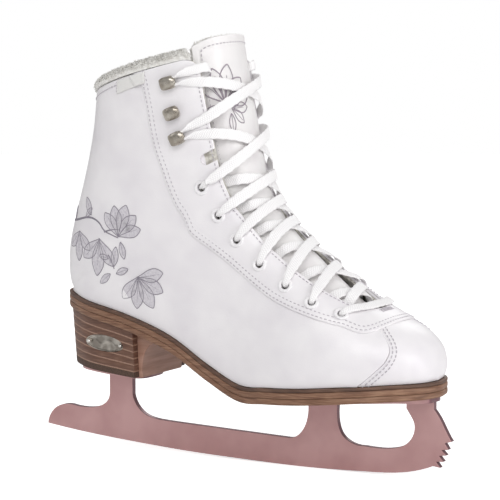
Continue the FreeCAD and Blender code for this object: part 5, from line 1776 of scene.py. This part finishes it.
    def build(self) -> None:
        """Make every strand and both tips."""
        rows = range(len(EYELETS) - 1, 0, -1)
        groups = {
            "lace_toe_bar": [self.toe_bar()],
            "lace_rows_over": [self.strand(-1, k, True) for k in rows],
            "lace_rows_under": [self.strand(1, k, False) for k in rows],
            "lace_hook_runs": [self.hooked(-1, 2, True, None), self.hooked(1, 2, False, None),
                               self.hooked(-1, 0, True, 2), self.hooked(1, 0, False, 2)],
            "lace_tails": [self.tail(-1), self.tail(1)],
        }
        for name, strands in groups.items():
            forms = [self.braid(stops, k * 2 + 1) for k, stops in enumerate(strands)]
            make(name, join(forms), LACE_BRAID, Body.BOOT, (name,), 70.0)
        tips = []
        for side in Side:
            s = side.value
            top = self.last.at(s * 0.322, 19.46, TUCKED)
            low = self.last.at(s * 0.334, 18.72, TUCKED)
            share = np.array([0.0, 0.02, 0.06, 0.5, 0.94, 0.98, 1.0])
            size = np.array([0.6, 0.86, 0.95, 0.95, 0.95, 0.86, 0.6])
            ahead = unit(low - top)
            one = unit(np.cross(ahead, np.array([0.0, 0.0, 1.0])))
            two = np.cross(ahead, one)
            angle = turns(24)
            ring = one * np.cos(angle)[:, None] + two * np.sin(angle)[:, None]
            tips.append(tube((lerp(top, low, share[:, None]))[:, None]
                             + ring[None] * size[:, None, None]))
        make("lace_tips", join(tips), TIP_FILM, Body.BOOT, ("lace_tips",))


# ------------------------------------------------------------------ eyelets and hooks
@dataclass
class Hardware:
    """Enamelled eyelets, nickel hooks and their rivets."""

    last: Last
    around: int = 40

    def turned(self, profile: Sequence[tuple[float, float]]) -> Form:
        """A closed profile of (radius, height) spun round Z."""
        rows = np.array(profile)
        angle = turns(self.around)
        rings = np.stack([rows[:, :1] * np.cos(angle), rows[:, :1] * np.sin(angle),
                          rows[:, 1:] + 0 * angle], -1)
        return tube(rings, capped=False)

    def placed(self, side: Side, form: Form, spots: Pairs) -> Form:
        """Copies of a form on the skin: X to the throat, Y up, Z outwards."""
        frames = [self.last.frame(side.value * t, v, 0.0) for v, t in spots]
        places = np.array([f[0] for f in frames])
        axes = np.array([np.stack([f[2], f[3], f[1]]) for f in frames])
        made = repeat(form, places, axes)
        return made.outward() if made.volume() < 0 else made

    def build(self) -> None:
        """Make eyelets, hooks and rivets on both sides."""
        for side in Side:
            for kind, form, spots, finish, slot, sharp in (
                    ("eyelets_", self.eyelet(), EYELETS, WHITE_ENAMEL, "eyelet_enamel",
                     SHARP_ANGLE),
                    ("hooks_", self.hook(), HOOKS, HOOK_NICKEL, "hook_nickel", 50.0),
                    ("hook_rivets_", self.rivet(), HOOKS, HOOK_NICKEL, "hook_nickel",
                     SHARP_ANGLE)):
                name = kind + side.name.lower()
                make(name, self.placed(side, form, spots), finish, Body.BOOT, (name,),
                     sharp)

    def eyelet(self) -> Form:
        """Eyelet: rolled front ring, barrel and clinched ring behind."""
        top = -FACE + 0.3
        back = -(BACK + 0.3)
        roll = [(lerp(EYELET_BORE, EYELET_FLANGE, 0.5)
                 + (EYELET_FLANGE - EYELET_BORE) / 2 * math.cos(a),
                 top + 0.1 + (EYELET_RIM + 0.12) * math.sin(a) ** 0.8)
                for a in np.linspace(0.0, PI, 15)]
        profile = [(EYELET_BARREL, top), (EYELET_FLANGE - 0.1, top)] + roll[:-1]
        profile += [(EYELET_BORE, top), (EYELET_BORE, back - 0.55),
                    (EYELET_FLANGE - 0.8, back - 0.55), (EYELET_FLANGE - 0.6, back - 0.35),
                    (EYELET_FLANGE - 0.6, back - 0.1), (EYELET_BARREL, back)]
        return self.turned(profile)

    def hook(self) -> Form:
        """Hook pressed from sheet: foot, back bend, and a dome that closes down at its sides.

        The middle line runs along the foot, round the back and over the dome; each row of
        the sheet crosses it, and the dome's rows curve down towards their ends.
        """
        top = HOOK_SHEET + HOOK_THROAT
        back = -HOOK_LENGTH / 2
        base = -FACE + 0.35
        middle = np.array([
            (HOOK_LENGTH / 2 - 1, 0.5), (1.0, 0.5), (back + 2.6, 0.5), (back + 0.7, 1.1),
            (back - 0.05, top / 2 + 0.35), (back + 0.6, top - 0.2), (back + 2.4, top + 0.62),
            (0.9, top + 1.05), (HOOK_LENGTH / 2 - 1.4, top + 0.75),
            (HOOK_LENGTH / 2 + 0.3, top - 0.35)])
        line = spline(middle, 90)
        run = along(line)
        travel = unit(np.gradient(line, axis=0))
        square = np.stack([-travel[:, 1], travel[:, 0]], -1)
        share = run / run[-1]
        across = np.linspace(-1, 1, 25)
        dome = smooth((share - 0.55) / 0.15)
        tipping = np.clip((share - 0.9) / 0.1, 0, 1)
        foot_end = np.clip((0.06 - share) / 0.06, 0, 1)
        reach = np.clip(np.abs(line[:, 0] + 0.2) / (HOOK_LENGTH / 2 + 0.6), 0, 1)
        half = HOOK_WIDTH / 2 * (1 - reach**2.6) ** 0.5 * (1 - 0.3 * foot_end**2)
        half = np.maximum(half, HOOK_WIDTH * 0.2 * (1 - 0.5 * tipping))
        fall = dome[:, None] * 1.5 * np.abs(across[None, :]) ** 3.2
        sheet = np.clip(1 - 0.5 * np.abs(across) ** 6, 0.4, 1)[None, :] * HOOK_SHEET / 2 * 0.92
        faces = []
        for sign in (1, -1):
            x = line[:, :1] + square[:, :1] * sheet * sign + 0 * fall
            z = base + line[:, 1:] + square[:, 1:] * sheet * sign - fall
            y = half[:, None] * across[None, :] + 0 * x
            faces.append(np.stack([x, y, z], -1))
        return shell(faces[0], faces[1])

    def rivet(self) -> Form:
        """Rivet: low domed head in the hook's foot, shank, clinched tail behind."""
        foot = -FACE + 0.35 + HOOK_SHEET
        head, tail = RIVET_RADIUS + 0.9, RIVET_RADIUS + 1.1
        profile = [(0.02, foot + 0.55), (head * 0.5, foot + 0.47), (head * 0.85, foot + 0.28),
                   (head, foot + 0.05), (RIVET_RADIUS, foot + 0.05), (RIVET_RADIUS, -BACK - 0.45),
                   (tail, -BACK - 0.5), (tail * 0.9, -BACK - 0.95), (0.02, -BACK - 1.05)]
        return self.turned(profile)


# ------------------------------------------------------------------ sole and heel
@dataclass
class Sole:
    """Welt, midsole, outsole, footbed, stacked heel and its breast cover."""

    last: Last
    edge_round: float = 0.5
    outline_count: int = 420
    spine_inset: float = 22.0
    core: float = 0.97

    def outline(self, margin: float) -> Array:
        """Plan line of the sole's edge (n, 3) at z 0, moved out square to itself."""
        v = HEEL_STATION * np.linspace(1, 0, 61)
        outer = self.last.skin(-self.last.end(v) * 0.9999, v)
        v = v[::-1]
        inner = self.last.skin(self.last.end(v) * 0.9999, v)[1:-1]
        points = np.concatenate([outer, inner])
        points[:, 2] = 0
        closed = np.concatenate([points, points[:1]])
        line = even(closed, self.outline_count, ends=False)
        for _ in range(3):
            line = (np.roll(line, 1, 0) + 2 * line + np.roll(line, -1, 0)) / 4
        return line + self.outwards(line) * margin

    @staticmethod
    def outwards(line: Array) -> Array:
        """Outward directions along a closed plan line."""
        ahead = np.roll(line, -1, 0) - np.roll(line, 1, 0)
        out = unit(np.stack([ahead[:, 1], -ahead[:, 0], 0 * ahead[:, 0]], -1))
        return -out if np.sum(out * (line - line.mean(0))) < 0 else out

    def top(self, x: Array) -> Array:
        """Height of the sole's top face at x, from the sections' sole points."""
        v = np.linspace(14.6, 1.2, 300)
        xs, zs = cubic(self.last.columns[2], v), cubic(self.last.columns[3], v)
        low = zs[0] + (x - xs[0]) * 0.05
        return np.where(x < xs[0], np.maximum(zs[0] - 0.08 * (xs[0] - x), low - 1.2),
                        np.interp(x, xs, zs))

    def plate(self, margin: float, low: float, high: float, round_by: float,
              rings: int = 16) -> Form:
        """Layer between two offsets from the sole's top face, its edge rounded.

        Rings shrink from the outline to its long middle line; the edge swells outwards by
        a circular arc over its height.
        """
        line = self.outline(margin)
        spine = line.copy()
        spine[:, 1] = 0.0
        spine[:, 0] = np.clip(line[:, 0], line[:, 0].min() + self.spine_inset,
                              line[:, 0].max() - self.spine_inset)
        turn = np.linspace(-PI / 2, PI / 2, 7)
        out = self.outwards(line)
        shares = np.linspace(1, 0, rings)
        edge = line - out * round_by
        grid = [(lerp(edge, spine, share * self.core), low) for share in shares[:-1]]
        for angle in turn:
            ring = line - out * round_by * (1 - math.cos(angle))
            height = (low + high) / 2 + (high - low) / 2 * math.sin(angle)
            grid.append((ring, height))
        grid += [(lerp(edge, spine, share * self.core), high) for share in shares[::-1][1:]]
        rows = []
        for ring, height in grid:
            ring[:, 2] = self.top(ring[:, 0]) + height
            rows.append(ring)
        return tube(np.stack(rows))

    def build(self) -> None:
        """Make the sole's layers, the heel and what lies inside the boot."""
        top = -2 * GAP
        for name, thickness, finish, slot in (
                ("welt", WELT, WELT_EDGE, "sole_leather"),
                ("midsole", MIDSOLE, SOLE_EDGE, "midsole_leather"),
                ("outsole", OUTSOLE, SOLE_EDGE, "sole_leather")):
            form = self.plate(WELT_MARGIN, top - thickness, top, self.edge_round)
            make(name, form, finish, Body.BOOT, (name,))
            top -= thickness + GAP
        inside = -(LEATHER + STIFFENER + LINING + 3 * GAP + 1.2)
        bed = FILLER + GAP + INSOLE_BOARD + GAP
        form = self.plate(inside - 0.8, bed, bed + FOOTBED, 1.2)
        form.uv = form.points[:, :2].copy()
        make("footbed", form, FOOTBED_CLOTH, Body.BOOT, ("footbed",))
        self.heel()
        self.breast()

    def base(self, x: Array) -> Array:
        """Height of the heel's underside."""
        return HEEL_BASE_HEIGHT + HEEL_BASE_RISE * (HEEL_FRONT * self.last.long - x) / HEEL_RUN

    def heel_ring(self, z: float, front: float) -> Array:
        """Heel outline at a height: the sole's outline drawn in towards the ground."""
        share = (z - HEEL_WIDE_LOW) / (HEEL_WIDE_HIGH - HEEL_WIDE_LOW)
        margin = WELT_MARGIN - HEEL_TOP_SETBACK - HEEL_TAPER * 1.25 * (1 - share)
        line = self.outline(margin)
        start = int(np.argmin(line[:, 0]))
        line = np.roll(line, len(line) // 2 - start, 0)
        keep = line[line[:, 0] <= front]
        ends = []
        for near, far in ((keep[0], line[np.flatnonzero(line[:, 0] <= front)[0] - 1]),
                          (keep[-1], line[np.flatnonzero(line[:, 0] <= front)[-1] + 1])):
            f = (front - near[0]) / (far[0] - near[0])
            ends.append(lerp(near, far, f))
        path = np.concatenate([ends[0][None], keep, ends[1][None]])
        curve = even(path, 150)
        face = lerp(curve[-1], curve[0], np.linspace(0, 1, 42)[1:-1, None])
        return np.concatenate([curve, face])

    def heel(self) -> None:
        """Seven lifts, each an even share of the heel's height, edges a little rounded.

        Between lifts a pale cemented line shows; the lowest lift is the rubber top piece.
        """
        front = HEEL_FRONT * self.last.long
        inwards = (0.985, 0.7, 0.4, 0.15)
        lifts = []
        lines = []
        for k in range(HEEL_LIFTS):
            low_share, high_share = k / HEEL_LIFTS, (k + 1) / HEEL_LIFTS
            rows = [self.lift_row(low_share, GAP / 2, inward, front, LIFT_EDGE)
                    for inward in inwards]
            for angle in np.linspace(-PI / 2, PI / 2, 7):
                f = (math.sin(angle) + 1) / 2
                level = lerp(low_share, high_share, f)
                gap = lerp(GAP / 2, -GAP / 2, f)
                shrink = LIFT_EDGE * (1 - math.cos(angle))
                rows.append(self.lift_row(level, gap, 0.0, front, shrink))
            rows += [self.lift_row(high_share, -GAP / 2, inward, front, LIFT_EDGE)
                     for inward in inwards[::-1]]
            lifts.append(tube(np.stack(rows)))
            if k:
                band = [self.lift_row(low_share, d, 0.0, front, 0.12) for d in (-0.42, 0.42)]
                inner = [self.lift_row(low_share, d, 0.0, front, 1.6) for d in (0.42, -0.42)]
                lines.append(tube(np.stack(band + inner), capped=False))
        holes = self.badge_pocket()
        make("heel_top_piece", lifts[0], TOP_RUBBER, Body.BOOT,
             ("heel_top_piece",))
        piece = make("heel_lifts", join(lifts[1:]), HEEL_STACK, Body.BOOT,
                     ("heel_lifts",))
        cut(piece, holes)
        piece = make("heel_lines", join(lines), LIGHT_LINE, Body.BOOT)
        cut(piece, holes)

    def lift_row(self, level: float, gap: float, inward: float, front: float,
                 shrink: float) -> Array:
        """Heel outline at a share of the heel's height, drawn in towards its middle."""
        middle = self.base(np.array(front - 25)) * (1 - level) + HEEL_REACH * level
        ring = self.heel_ring(float(middle), front)
        centre = ring.mean(0)
        away = unit(ring - centre)
        ring = ring - away * shrink
        ring = lerp(ring, centre, inward)
        low = self.base(ring[:, 0]) - 0.01
        high = self.top(ring[:, 0]) - SOLE_STACK - 4 * GAP
        ring[:, 2] = lerp(low, high, level) + gap
        return ring

    def breast(self) -> None:
        """Cover of the heel's front face, flaring forwards under the sole."""
        front = HEEL_FRONT * self.last.long + GAP
        a = spread(30, (0.0, 0.008, 0.02))[None, :]
        b = spread(30, (0.0, 0.008, 0.02))[:, None]
        half = lerp(BREAST_HALF_LOW, BREAST_HALF_HIGH, b) * self.last.wide
        y = lerp(-half, half * 0.96, a)
        bend = 1.4 * (1 - (2 * a - 1) ** 2)
        faces = []
        for c in (0, 1):
            x = front + (BREAST_THICKNESS + BREAST_FLARE * b**3 - bend * b if c else 0.0) + 0 * y
            low, high = self.base(x), self.top(x) - SOLE_STACK - 5 * GAP
            points = np.stack([x, y, lerp(low, high, b)], -1)
            if c:
                points[..., 0] -= round_over(edge_distance(points), 0.5)
            faces.append(points)
        make("heel_breast", shell(faces[1], faces[0]), BREAST_COVER, Body.BOOT,
             ("heel_breast",))

    def badge_pocket(self) -> Form:
        """Cutter of the badge's seat, a little wider than the badge's box."""
        low, high = (np.array(corner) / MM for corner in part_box("heel_badge"))
        centre = (low + high) / 2
        angle = turns(64)
        half = (high - low) / 2 + FIT
        ring = np.stack([np.cos(angle) * half[0], 0 * angle, np.sin(angle) * half[2]], -1)
        lean = math.radians(4.0)
        tilt = np.stack([ring[:, 0], 0 * angle, ring[:, 2] * 0.965
                         - ring[:, 0] * math.sin(lean) * 0.9], -1)
        return tube(np.stack([centre + tilt + (0, high[1] - centre[1] + FIT, 0),
                              centre + tilt - (0, 40, 0)]))


# ------------------------------------------------------------------ print, badge, blade
@dataclass
class Petal:
    """A petal's outline in its own frame: length, width, where it is widest, tip bend."""

    length: float
    width: float
    belly: float = 0.55
    bend: float = 0.0

    def edge(self, count: int = 26) -> Array:
        """Closed outline (n, 2), base at 0, tip along Y: width x sin with a moved belly."""
        f = np.linspace(0, 1, count)
        warp = f ** (math.log(0.5) / math.log(self.belly))
        half = self.width / 2 * np.sin(PI * warp) ** 0.85
        middle = self.bend * f**2
        right = np.stack([middle + half, f * self.length], -1)
        left = np.stack([middle - half, f * self.length], -1)
        return np.concatenate([right, left[-2:0:-1]])


def heading_turn(degrees: float) -> Array:
    """Matrix that turns rows of (x, y) from pointing up to a heading, 0 towards the toe."""
    angle = math.radians(degrees - 90)
    return np.array([[math.cos(angle), math.sin(angle)], [-math.sin(angle), math.cos(angle)]])


@dataclass
class Print:
    """Generic blossom branch printed on the outer side, and a faint one on the tongue.

    Fills and lines are transfers a tenth of a millimetre thick that follow the skin.
    """

    last: Last
    lift: float = 0.16
    twig_rise: float = 0.2
    fills: list[Form] = field(default_factory=list)
    lines: list[Form] = field(default_factory=list)

    def draw(self, t0: float, v0: float, outline: Array, filled: bool, width: float,
             depth: DepthRule) -> None:
        """Lay a closed outline on the skin as a fill and a line round it."""
        closed = np.concatenate([outline, outline[:1]])
        closed = even(closed, 60, 2)
        if filled:
            middle = closed.mean(0)
            shares = np.linspace(0.02, 1, 7)
            plane = middle + (closed[None, :-1] - middle) * shares[:, None, None]
            t, v = self.last.near(t0, v0, plane[..., 0], plane[..., 1])
            base = depth(t, v)
            top = self.last.at(t, v, base - self.lift)
            low = self.last.at(t, v, base + 0.1)
            self.fills.append(tube(np.concatenate([top, low[::-1]])))
        self.stroke(t0, v0, closed, width, depth)

    def stroke(self, t0: float, v0: float, path: Array, width: float,
               depth: DepthRule, taper: float = 0.0) -> None:
        """Lay a line on the skin: a flat ribbon with rounded edges along a plane path."""
        count = max(6, int(along(path)[-1] / 0.5))
        fine = even(path, count, 2)
        t, v = self.last.near(t0, v0, fine[:, 0], fine[:, 1])
        points = self.last.at(t, v, depth(t, v) - self.lift * 0.6)
        size = width / 2 * (1 - taper * np.linspace(0, 1, count))[:, None, None]
        self.lines.append(ribbon(points, self.last.normal(t, v), size, self.lift))

    def blossom(self, t0: float, v0: float, heading: float, size: float, open_by: float,
                petals: int, filled: bool, width: float,
                depth: DepthRule) -> None:
        """Cup-shaped blossom: petals fanned about a heading, the middle one in front.

        Args:
            t0: Place, t.
            v0: Place, v.
            heading: Direction of the tip in degrees, 90 is up, 0 towards the toe.
            size: Petal length in millimetres.
            open_by: Fan of the outer petals in degrees.
            petals: Number of petals, odd.
            filled: True for a tinted fill.
            width: Line width in millimetres.
            depth: Depth of the surface as a function of t and v.
        """
        order = sorted(range(petals), key=lambda k: -abs(k - (petals - 1) / 2))
        for k in order:
            share = (k - (petals - 1) / 2) / max((petals - 1) / 2, 1)
            petal = Petal(size * (1 - 0.16 * abs(share)), size * (0.44 - 0.05 * abs(share)), 0.6,
                          -share * size * 0.12)
            turn = heading_turn(heading + share * open_by)
            outline = petal.edge() @ turn
            self.draw(t0, v0, outline, filled, width, depth)
            vein = np.array([[0.0, size * 0.12], [petal.bend * 0.3, size * 0.45],
                             [petal.bend * 0.7, size * 0.72]]) @ turn
            self.stroke(t0, v0, vein, width * 0.7, depth, 0.6)

    def leaf(self, t0: float, v0: float, heading: float, size: float, filled: bool,
             width: float, depth: DepthRule) -> None:
        """One pointed leaf or bud with a middle vein."""
        turn = heading_turn(heading)
        outline = Petal(size, size * 0.42, 0.5).edge() @ turn
        self.draw(t0, v0, outline, filled, width, depth)
        vein = np.array([[0.0, 0.0], [0.0, size * 0.8]]) @ turn
        self.stroke(t0, v0, vein, width * 0.7, depth, 0.5)

    def branch(self, spots: Pairs, width: float) -> None:
        """Twig through (t, v) spots, thinner towards its end."""
        control = np.array(spots)
        path = spline(control, 60) if len(spots) > 2 else lerp(
            control[0], control[1], np.linspace(0, 1, 30)[:, None])
        points = self.last.at(path[:, 0], path[:, 1], -0.05)
        normals = self.last.normal(path[:, 0], path[:, 1])
        size = width / 2 * np.linspace(1, 0.45, len(path))[:, None, None]
        self.lines.append(ribbon(points, normals, size, self.twig_rise))

    def build(self) -> None:
        """Draw the branch on the quarter and the faint blossom on the tongue."""
        def flat(t: Array, v: Array) -> Array:
            return np.zeros(np.shape(t))

        self.branch(((-0.877, 17.72), (-0.785, 17.56), (-0.697, 17.35), (-0.644, 16.91),
                     (-0.623, 16.37), (-0.595, 15.98), (-0.574, 15.55)), 1.5)
        self.branch(((-0.622, 14.77), (-0.614, 13.84), (-0.603, 12.86)), 1.3)
        self.branch(((-0.623, 16.33), (-0.585, 16.21), (-0.567, 15.95)), 1.1)
        self.blossom(-0.574, 15.63, 72, 21, 46, 5, True, 0.55, flat)
        self.blossom(-0.644, 16.18, 262, 24, 34, 3, True, 0.55, flat)
        self.blossom(-0.757, 17.07, 265, 19, 40, 3, True, 0.5, flat)
        self.blossom(-0.545, 11.70, 300, 22, 62, 5, True, 0.55, flat)
        for t, v, heading, size in (
                (-0.570, 15.18, 285, 11), (-0.689, 17.34, 120, 13), (-0.724, 17.43, 40, 9),
                (-0.605, 13.03, 80, 13), (-0.617, 12.69, 215, 11), (-0.595, 12.47, 20, 10),
                (-0.829, 17.66, 100, 9), (-0.622, 14.2, 170, 8)):
            self.leaf(t, v, heading, size, True, 0.5, flat)
        make("print_fill", join(self.fills), PRINT_FILL, Body.BOOT)
        make("print_line", join(self.lines), PRINT_LINE, Body.BOOT)
        self.fills, self.lines = [], []

        def face(t: Array, v: Array) -> Array:
            return tongue_depth(t, v) - 0.42

        self.blossom(-0.148, 18.90, 96, 25, 58, 5, False, 0.8, face)
        self.blossom(-0.11, 18.6, 40, 15, 40, 3, False, 0.7, face)
        self.leaf(-0.178, 18.7, 200, 14, False, 0.7, face)
        self.leaf(-0.119, 18.4, 300, 12, False, 0.7, face)
        make("tongue_print", join(self.lines), TONGUE_LINE, Body.TONGUE)


@dataclass
class Badge:
    """Oval nickel plate with a raised rim and a plain wave relief, on two pins."""

    lean: float = 4.0
    long_half: float = 14.5
    short_half: float = 5.25

    def build(self) -> None:
        """Make the plate from rings that shrink to its middle, and both pins."""
        low, high = (np.array(corner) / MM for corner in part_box("heel_badge"))
        centre = (low + high) / 2
        lean = math.radians(self.lean)
        long_half, short_half = self.long_half, self.short_half
        angle = turns(96)
        back, face = high[1] - 0.01, low[1]
        rows = []
        steps = [(1.0, back), (1.0, face + 0.35), (0.985, face + 0.12), (0.95, face + 0.02)]
        steps += [(0.88, face + 0.05), (0.84, face + 0.5), (0.8, face + 0.62)]
        steps += [(s, face + 0.62) for s in np.linspace(0.76, 0.03, 16)]
        for size, depth in steps:
            inset = (1 - size) * short_half
            x = (long_half - inset) * np.cos(angle) if size > 0.7 else size * (
                long_half + 1.2) * np.cos(angle)
            z = (short_half - inset) * np.sin(angle) if size > 0.7 else size * short_half * 1.02 \
                * np.sin(angle)
            wave = 0.32 * np.exp(-((z - 1.3 * np.sin(x * 0.55)) / 0.7) ** 2)
            wave = wave * (np.abs(x) < 8.2) if size < 0.77 else 0 * x
            rows.append(np.stack([x * math.cos(lean) + z * math.sin(lean), depth - wave,
                                  z * math.cos(lean) - x * math.sin(lean)], -1))
        rings = np.stack(rows)
        rings[..., 0] += centre[0]
        rings[..., 2] += centre[2]
        make("heel_badge", tube(rings), BADGE_NICKEL, Body.BOOT, ("heel_badge",),
             60.0)
        pins = []
        for side in (-1, 1):
            reach = long_half - 2.8
            x = centre[0] + side * reach * math.cos(lean)
            z = centre[2] - side * reach * math.sin(lean)
            profile = [(0.02, face + 6), (0.9, face + 6), (0.9, face - 0.55),
                       (1.4, face - 0.58), (1.38, face - 0.85), (1.15, face - 1.35),
                       (0.7, face - 1.75), (0.02, face - 1.9)]
            turn = turns(28)
            ring = [np.stack([x + r * np.cos(turn), y + 0 * turn, z + r * np.sin(turn)], -1)
                    for r, y in profile]
            pins.append(tube(np.stack(ring)))
        make("badge_pins", join(pins), PIN_NICKEL, Body.BOOT, ("badge_pins",))


def soften(node: Object, finish: Finish, width: float = 0.0) -> None:
    """Dress a carried-over CAD node, with a small bevel on its welded edges.

    Args:
        node: The node's object.
        finish: Finish to wear.
        width: Bevel in millimetres, 0 for none.
    """
    for slot in node.material_slots:
        slot.material = finish.material()
    if width:
        weld = node.modifiers.new("weld", "WELD")
        weld.merge_threshold = 1e-6
        bevel = node.modifiers.new("soft_edge", "BEVEL")
        bevel.width = width * MM
        bevel.segments = 2
        bevel.limit_method = "ANGLE"
        bevel.angle_limit = math.radians(40)
        bevel.harden_normals = True


# ------------------------------------------------------------------ set
@dataclass
class Studio:
    """Pale floor, soft lights and the camera; floor, lights and aim are in metres."""

    azimuth: float = 29.0
    elevation: float = 6.0
    distance: float = 1450.0
    lens: float = 169.1
    target: tuple[float, float, float] = (5.8, 0.0, 131.7)
    ambient: float = 0.42
    floor_radius: float = 3.0
    aim: tuple[float, float, float] = (0.0, 0.0, 0.13)

    def build(self) -> None:
        """Make floor, lights, world and camera."""
        scene = bpy.context.scene
        scene.view_settings.view_transform = "Standard"
        angle = turns(64)
        data = bpy.data.meshes.new("floor")
        wide = self.floor_radius
        data.from_pydata([(wide * math.cos(a), wide * math.sin(a), 0.0) for a in angle], [],
                         [list(range(len(angle)))])
        floor = bpy.data.objects.new("floor", data)
        scene.collection.objects.link(floor)
        data.materials.append(Paper("studio_paper").material())
        world = bpy.data.worlds.new("studio")
        scene.world = world
        world.use_nodes = True
        tree = world.node_tree
        tree.nodes["Background"].inputs[1].default_value = self.ambient
        seen = add(tree, "Background", {0: linear("#FFFFFF"), 1: 1.0})
        direct = add(tree, "LightPath").outputs["Is Camera Ray"]
        both = add(tree, "MixShader", {0: direct, 1: tree.nodes["Background"].outputs[0],
                                       2: seen.outputs[0]})
        tree.nodes["Background"].inputs[0].default_value = linear("#FFFFFF")
        tree.links.new(both.outputs[0], tree.nodes["World Output"].inputs[0])
        aim = Vector(self.aim)
        for name, place, size, watts in (
                ("key", (0.75, -1.45, 1.2), 1.1, 13.5), ("left", (-1.5, -0.6, 0.8), 1.0, 3.0),
                ("right", (1.7, -0.1, 0.55), 1.0, 10.5), ("behind", (-0.3, 1.5, 1.1), 1.0, 6.0)):
            lamp = bpy.data.lights.new(name, "AREA")
            lamp.energy = watts
            lamp.size = size
            holder = bpy.data.objects.new(name, lamp)
            holder.location = place
            holder.rotation_euler = (aim - Vector(place)).to_track_quat("-Z", "Y").to_euler()
            scene.collection.objects.link(holder)
        self.camera()

    def camera(self) -> None:
        """Stand the camera on its bearing round the target."""
        turn, rise = math.radians(self.azimuth), math.radians(self.elevation)
        away = Vector((math.sin(turn) * math.cos(rise), -math.cos(turn) * math.cos(rise),
                       math.sin(rise)))
        target = Vector(self.target) * MM
        eye = bpy.data.cameras.new("camera")
        eye.lens = self.lens
        eye.sensor_width = 36.0
        eye.clip_end = 20.0
        holder = bpy.data.objects.new("camera", eye)
        holder.location = target + away * self.distance * MM
        holder.rotation_euler = (-away).to_track_quat("-Z", "Y").to_euler()
        bpy.context.scene.collection.objects.link(holder)
        bpy.context.scene.camera = holder


def proportions() -> Last:
    """The last, its length taken from the frame's welt; its width stays as drawn."""
    low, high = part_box("welt")
    long = ((high[0] - low[0]) / MM - 2 * WELT_MARGIN) / SOLE_LENGTH
    return Last(1.0 if abs(long - 1) < AS_DRAWN else long, 1.0)


def dress_frame(frame: dict) -> None:
    """Give every carried-over CAD node its finish."""
    finishes = {
        "toe_puff": INNER_BOARD, "heel_counter": INNER_BOARD, "insole_board": INNER_BOARD,
        "ankle_foam": INNER_FOAM, "tongue_foam": INNER_FOAM, "bottom_filler": INNER_FOAM,
        "shank": SCREW_STEEL, "blade": BLADE_LACQUER, "heel_plate": BLADE_LACQUER,
        "sole_plate": BLADE_LACQUER, "heel_screws": SCREW_STEEL, "sole_screws": SCREW_STEEL,
    }
    widths = {"blade": 0.25, "heel_plate": 0.3, "sole_plate": 0.3}
    for name, finish in finishes.items():
        soften(frame["nodes"][name], finish, widths.get(name, 0.0))


def main() -> None:
    """Build the skate piece by piece around the frame."""
    logging.basicConfig(level=logging.INFO, format="%(message)s")
    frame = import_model()
    last = proportions()
    LOG.info("last: long %.3f wide %.3f", last.long, last.wide)
    dress_frame(frame)
    Sole(last).build()
    Upper(last).build()
    Tongue(last).build()
    Hardware(last).build()
    Lacing(last).build()
    Print(last).build()
    Badge().build()
    Studio().build()


if __name__ == "__main__":
    main()
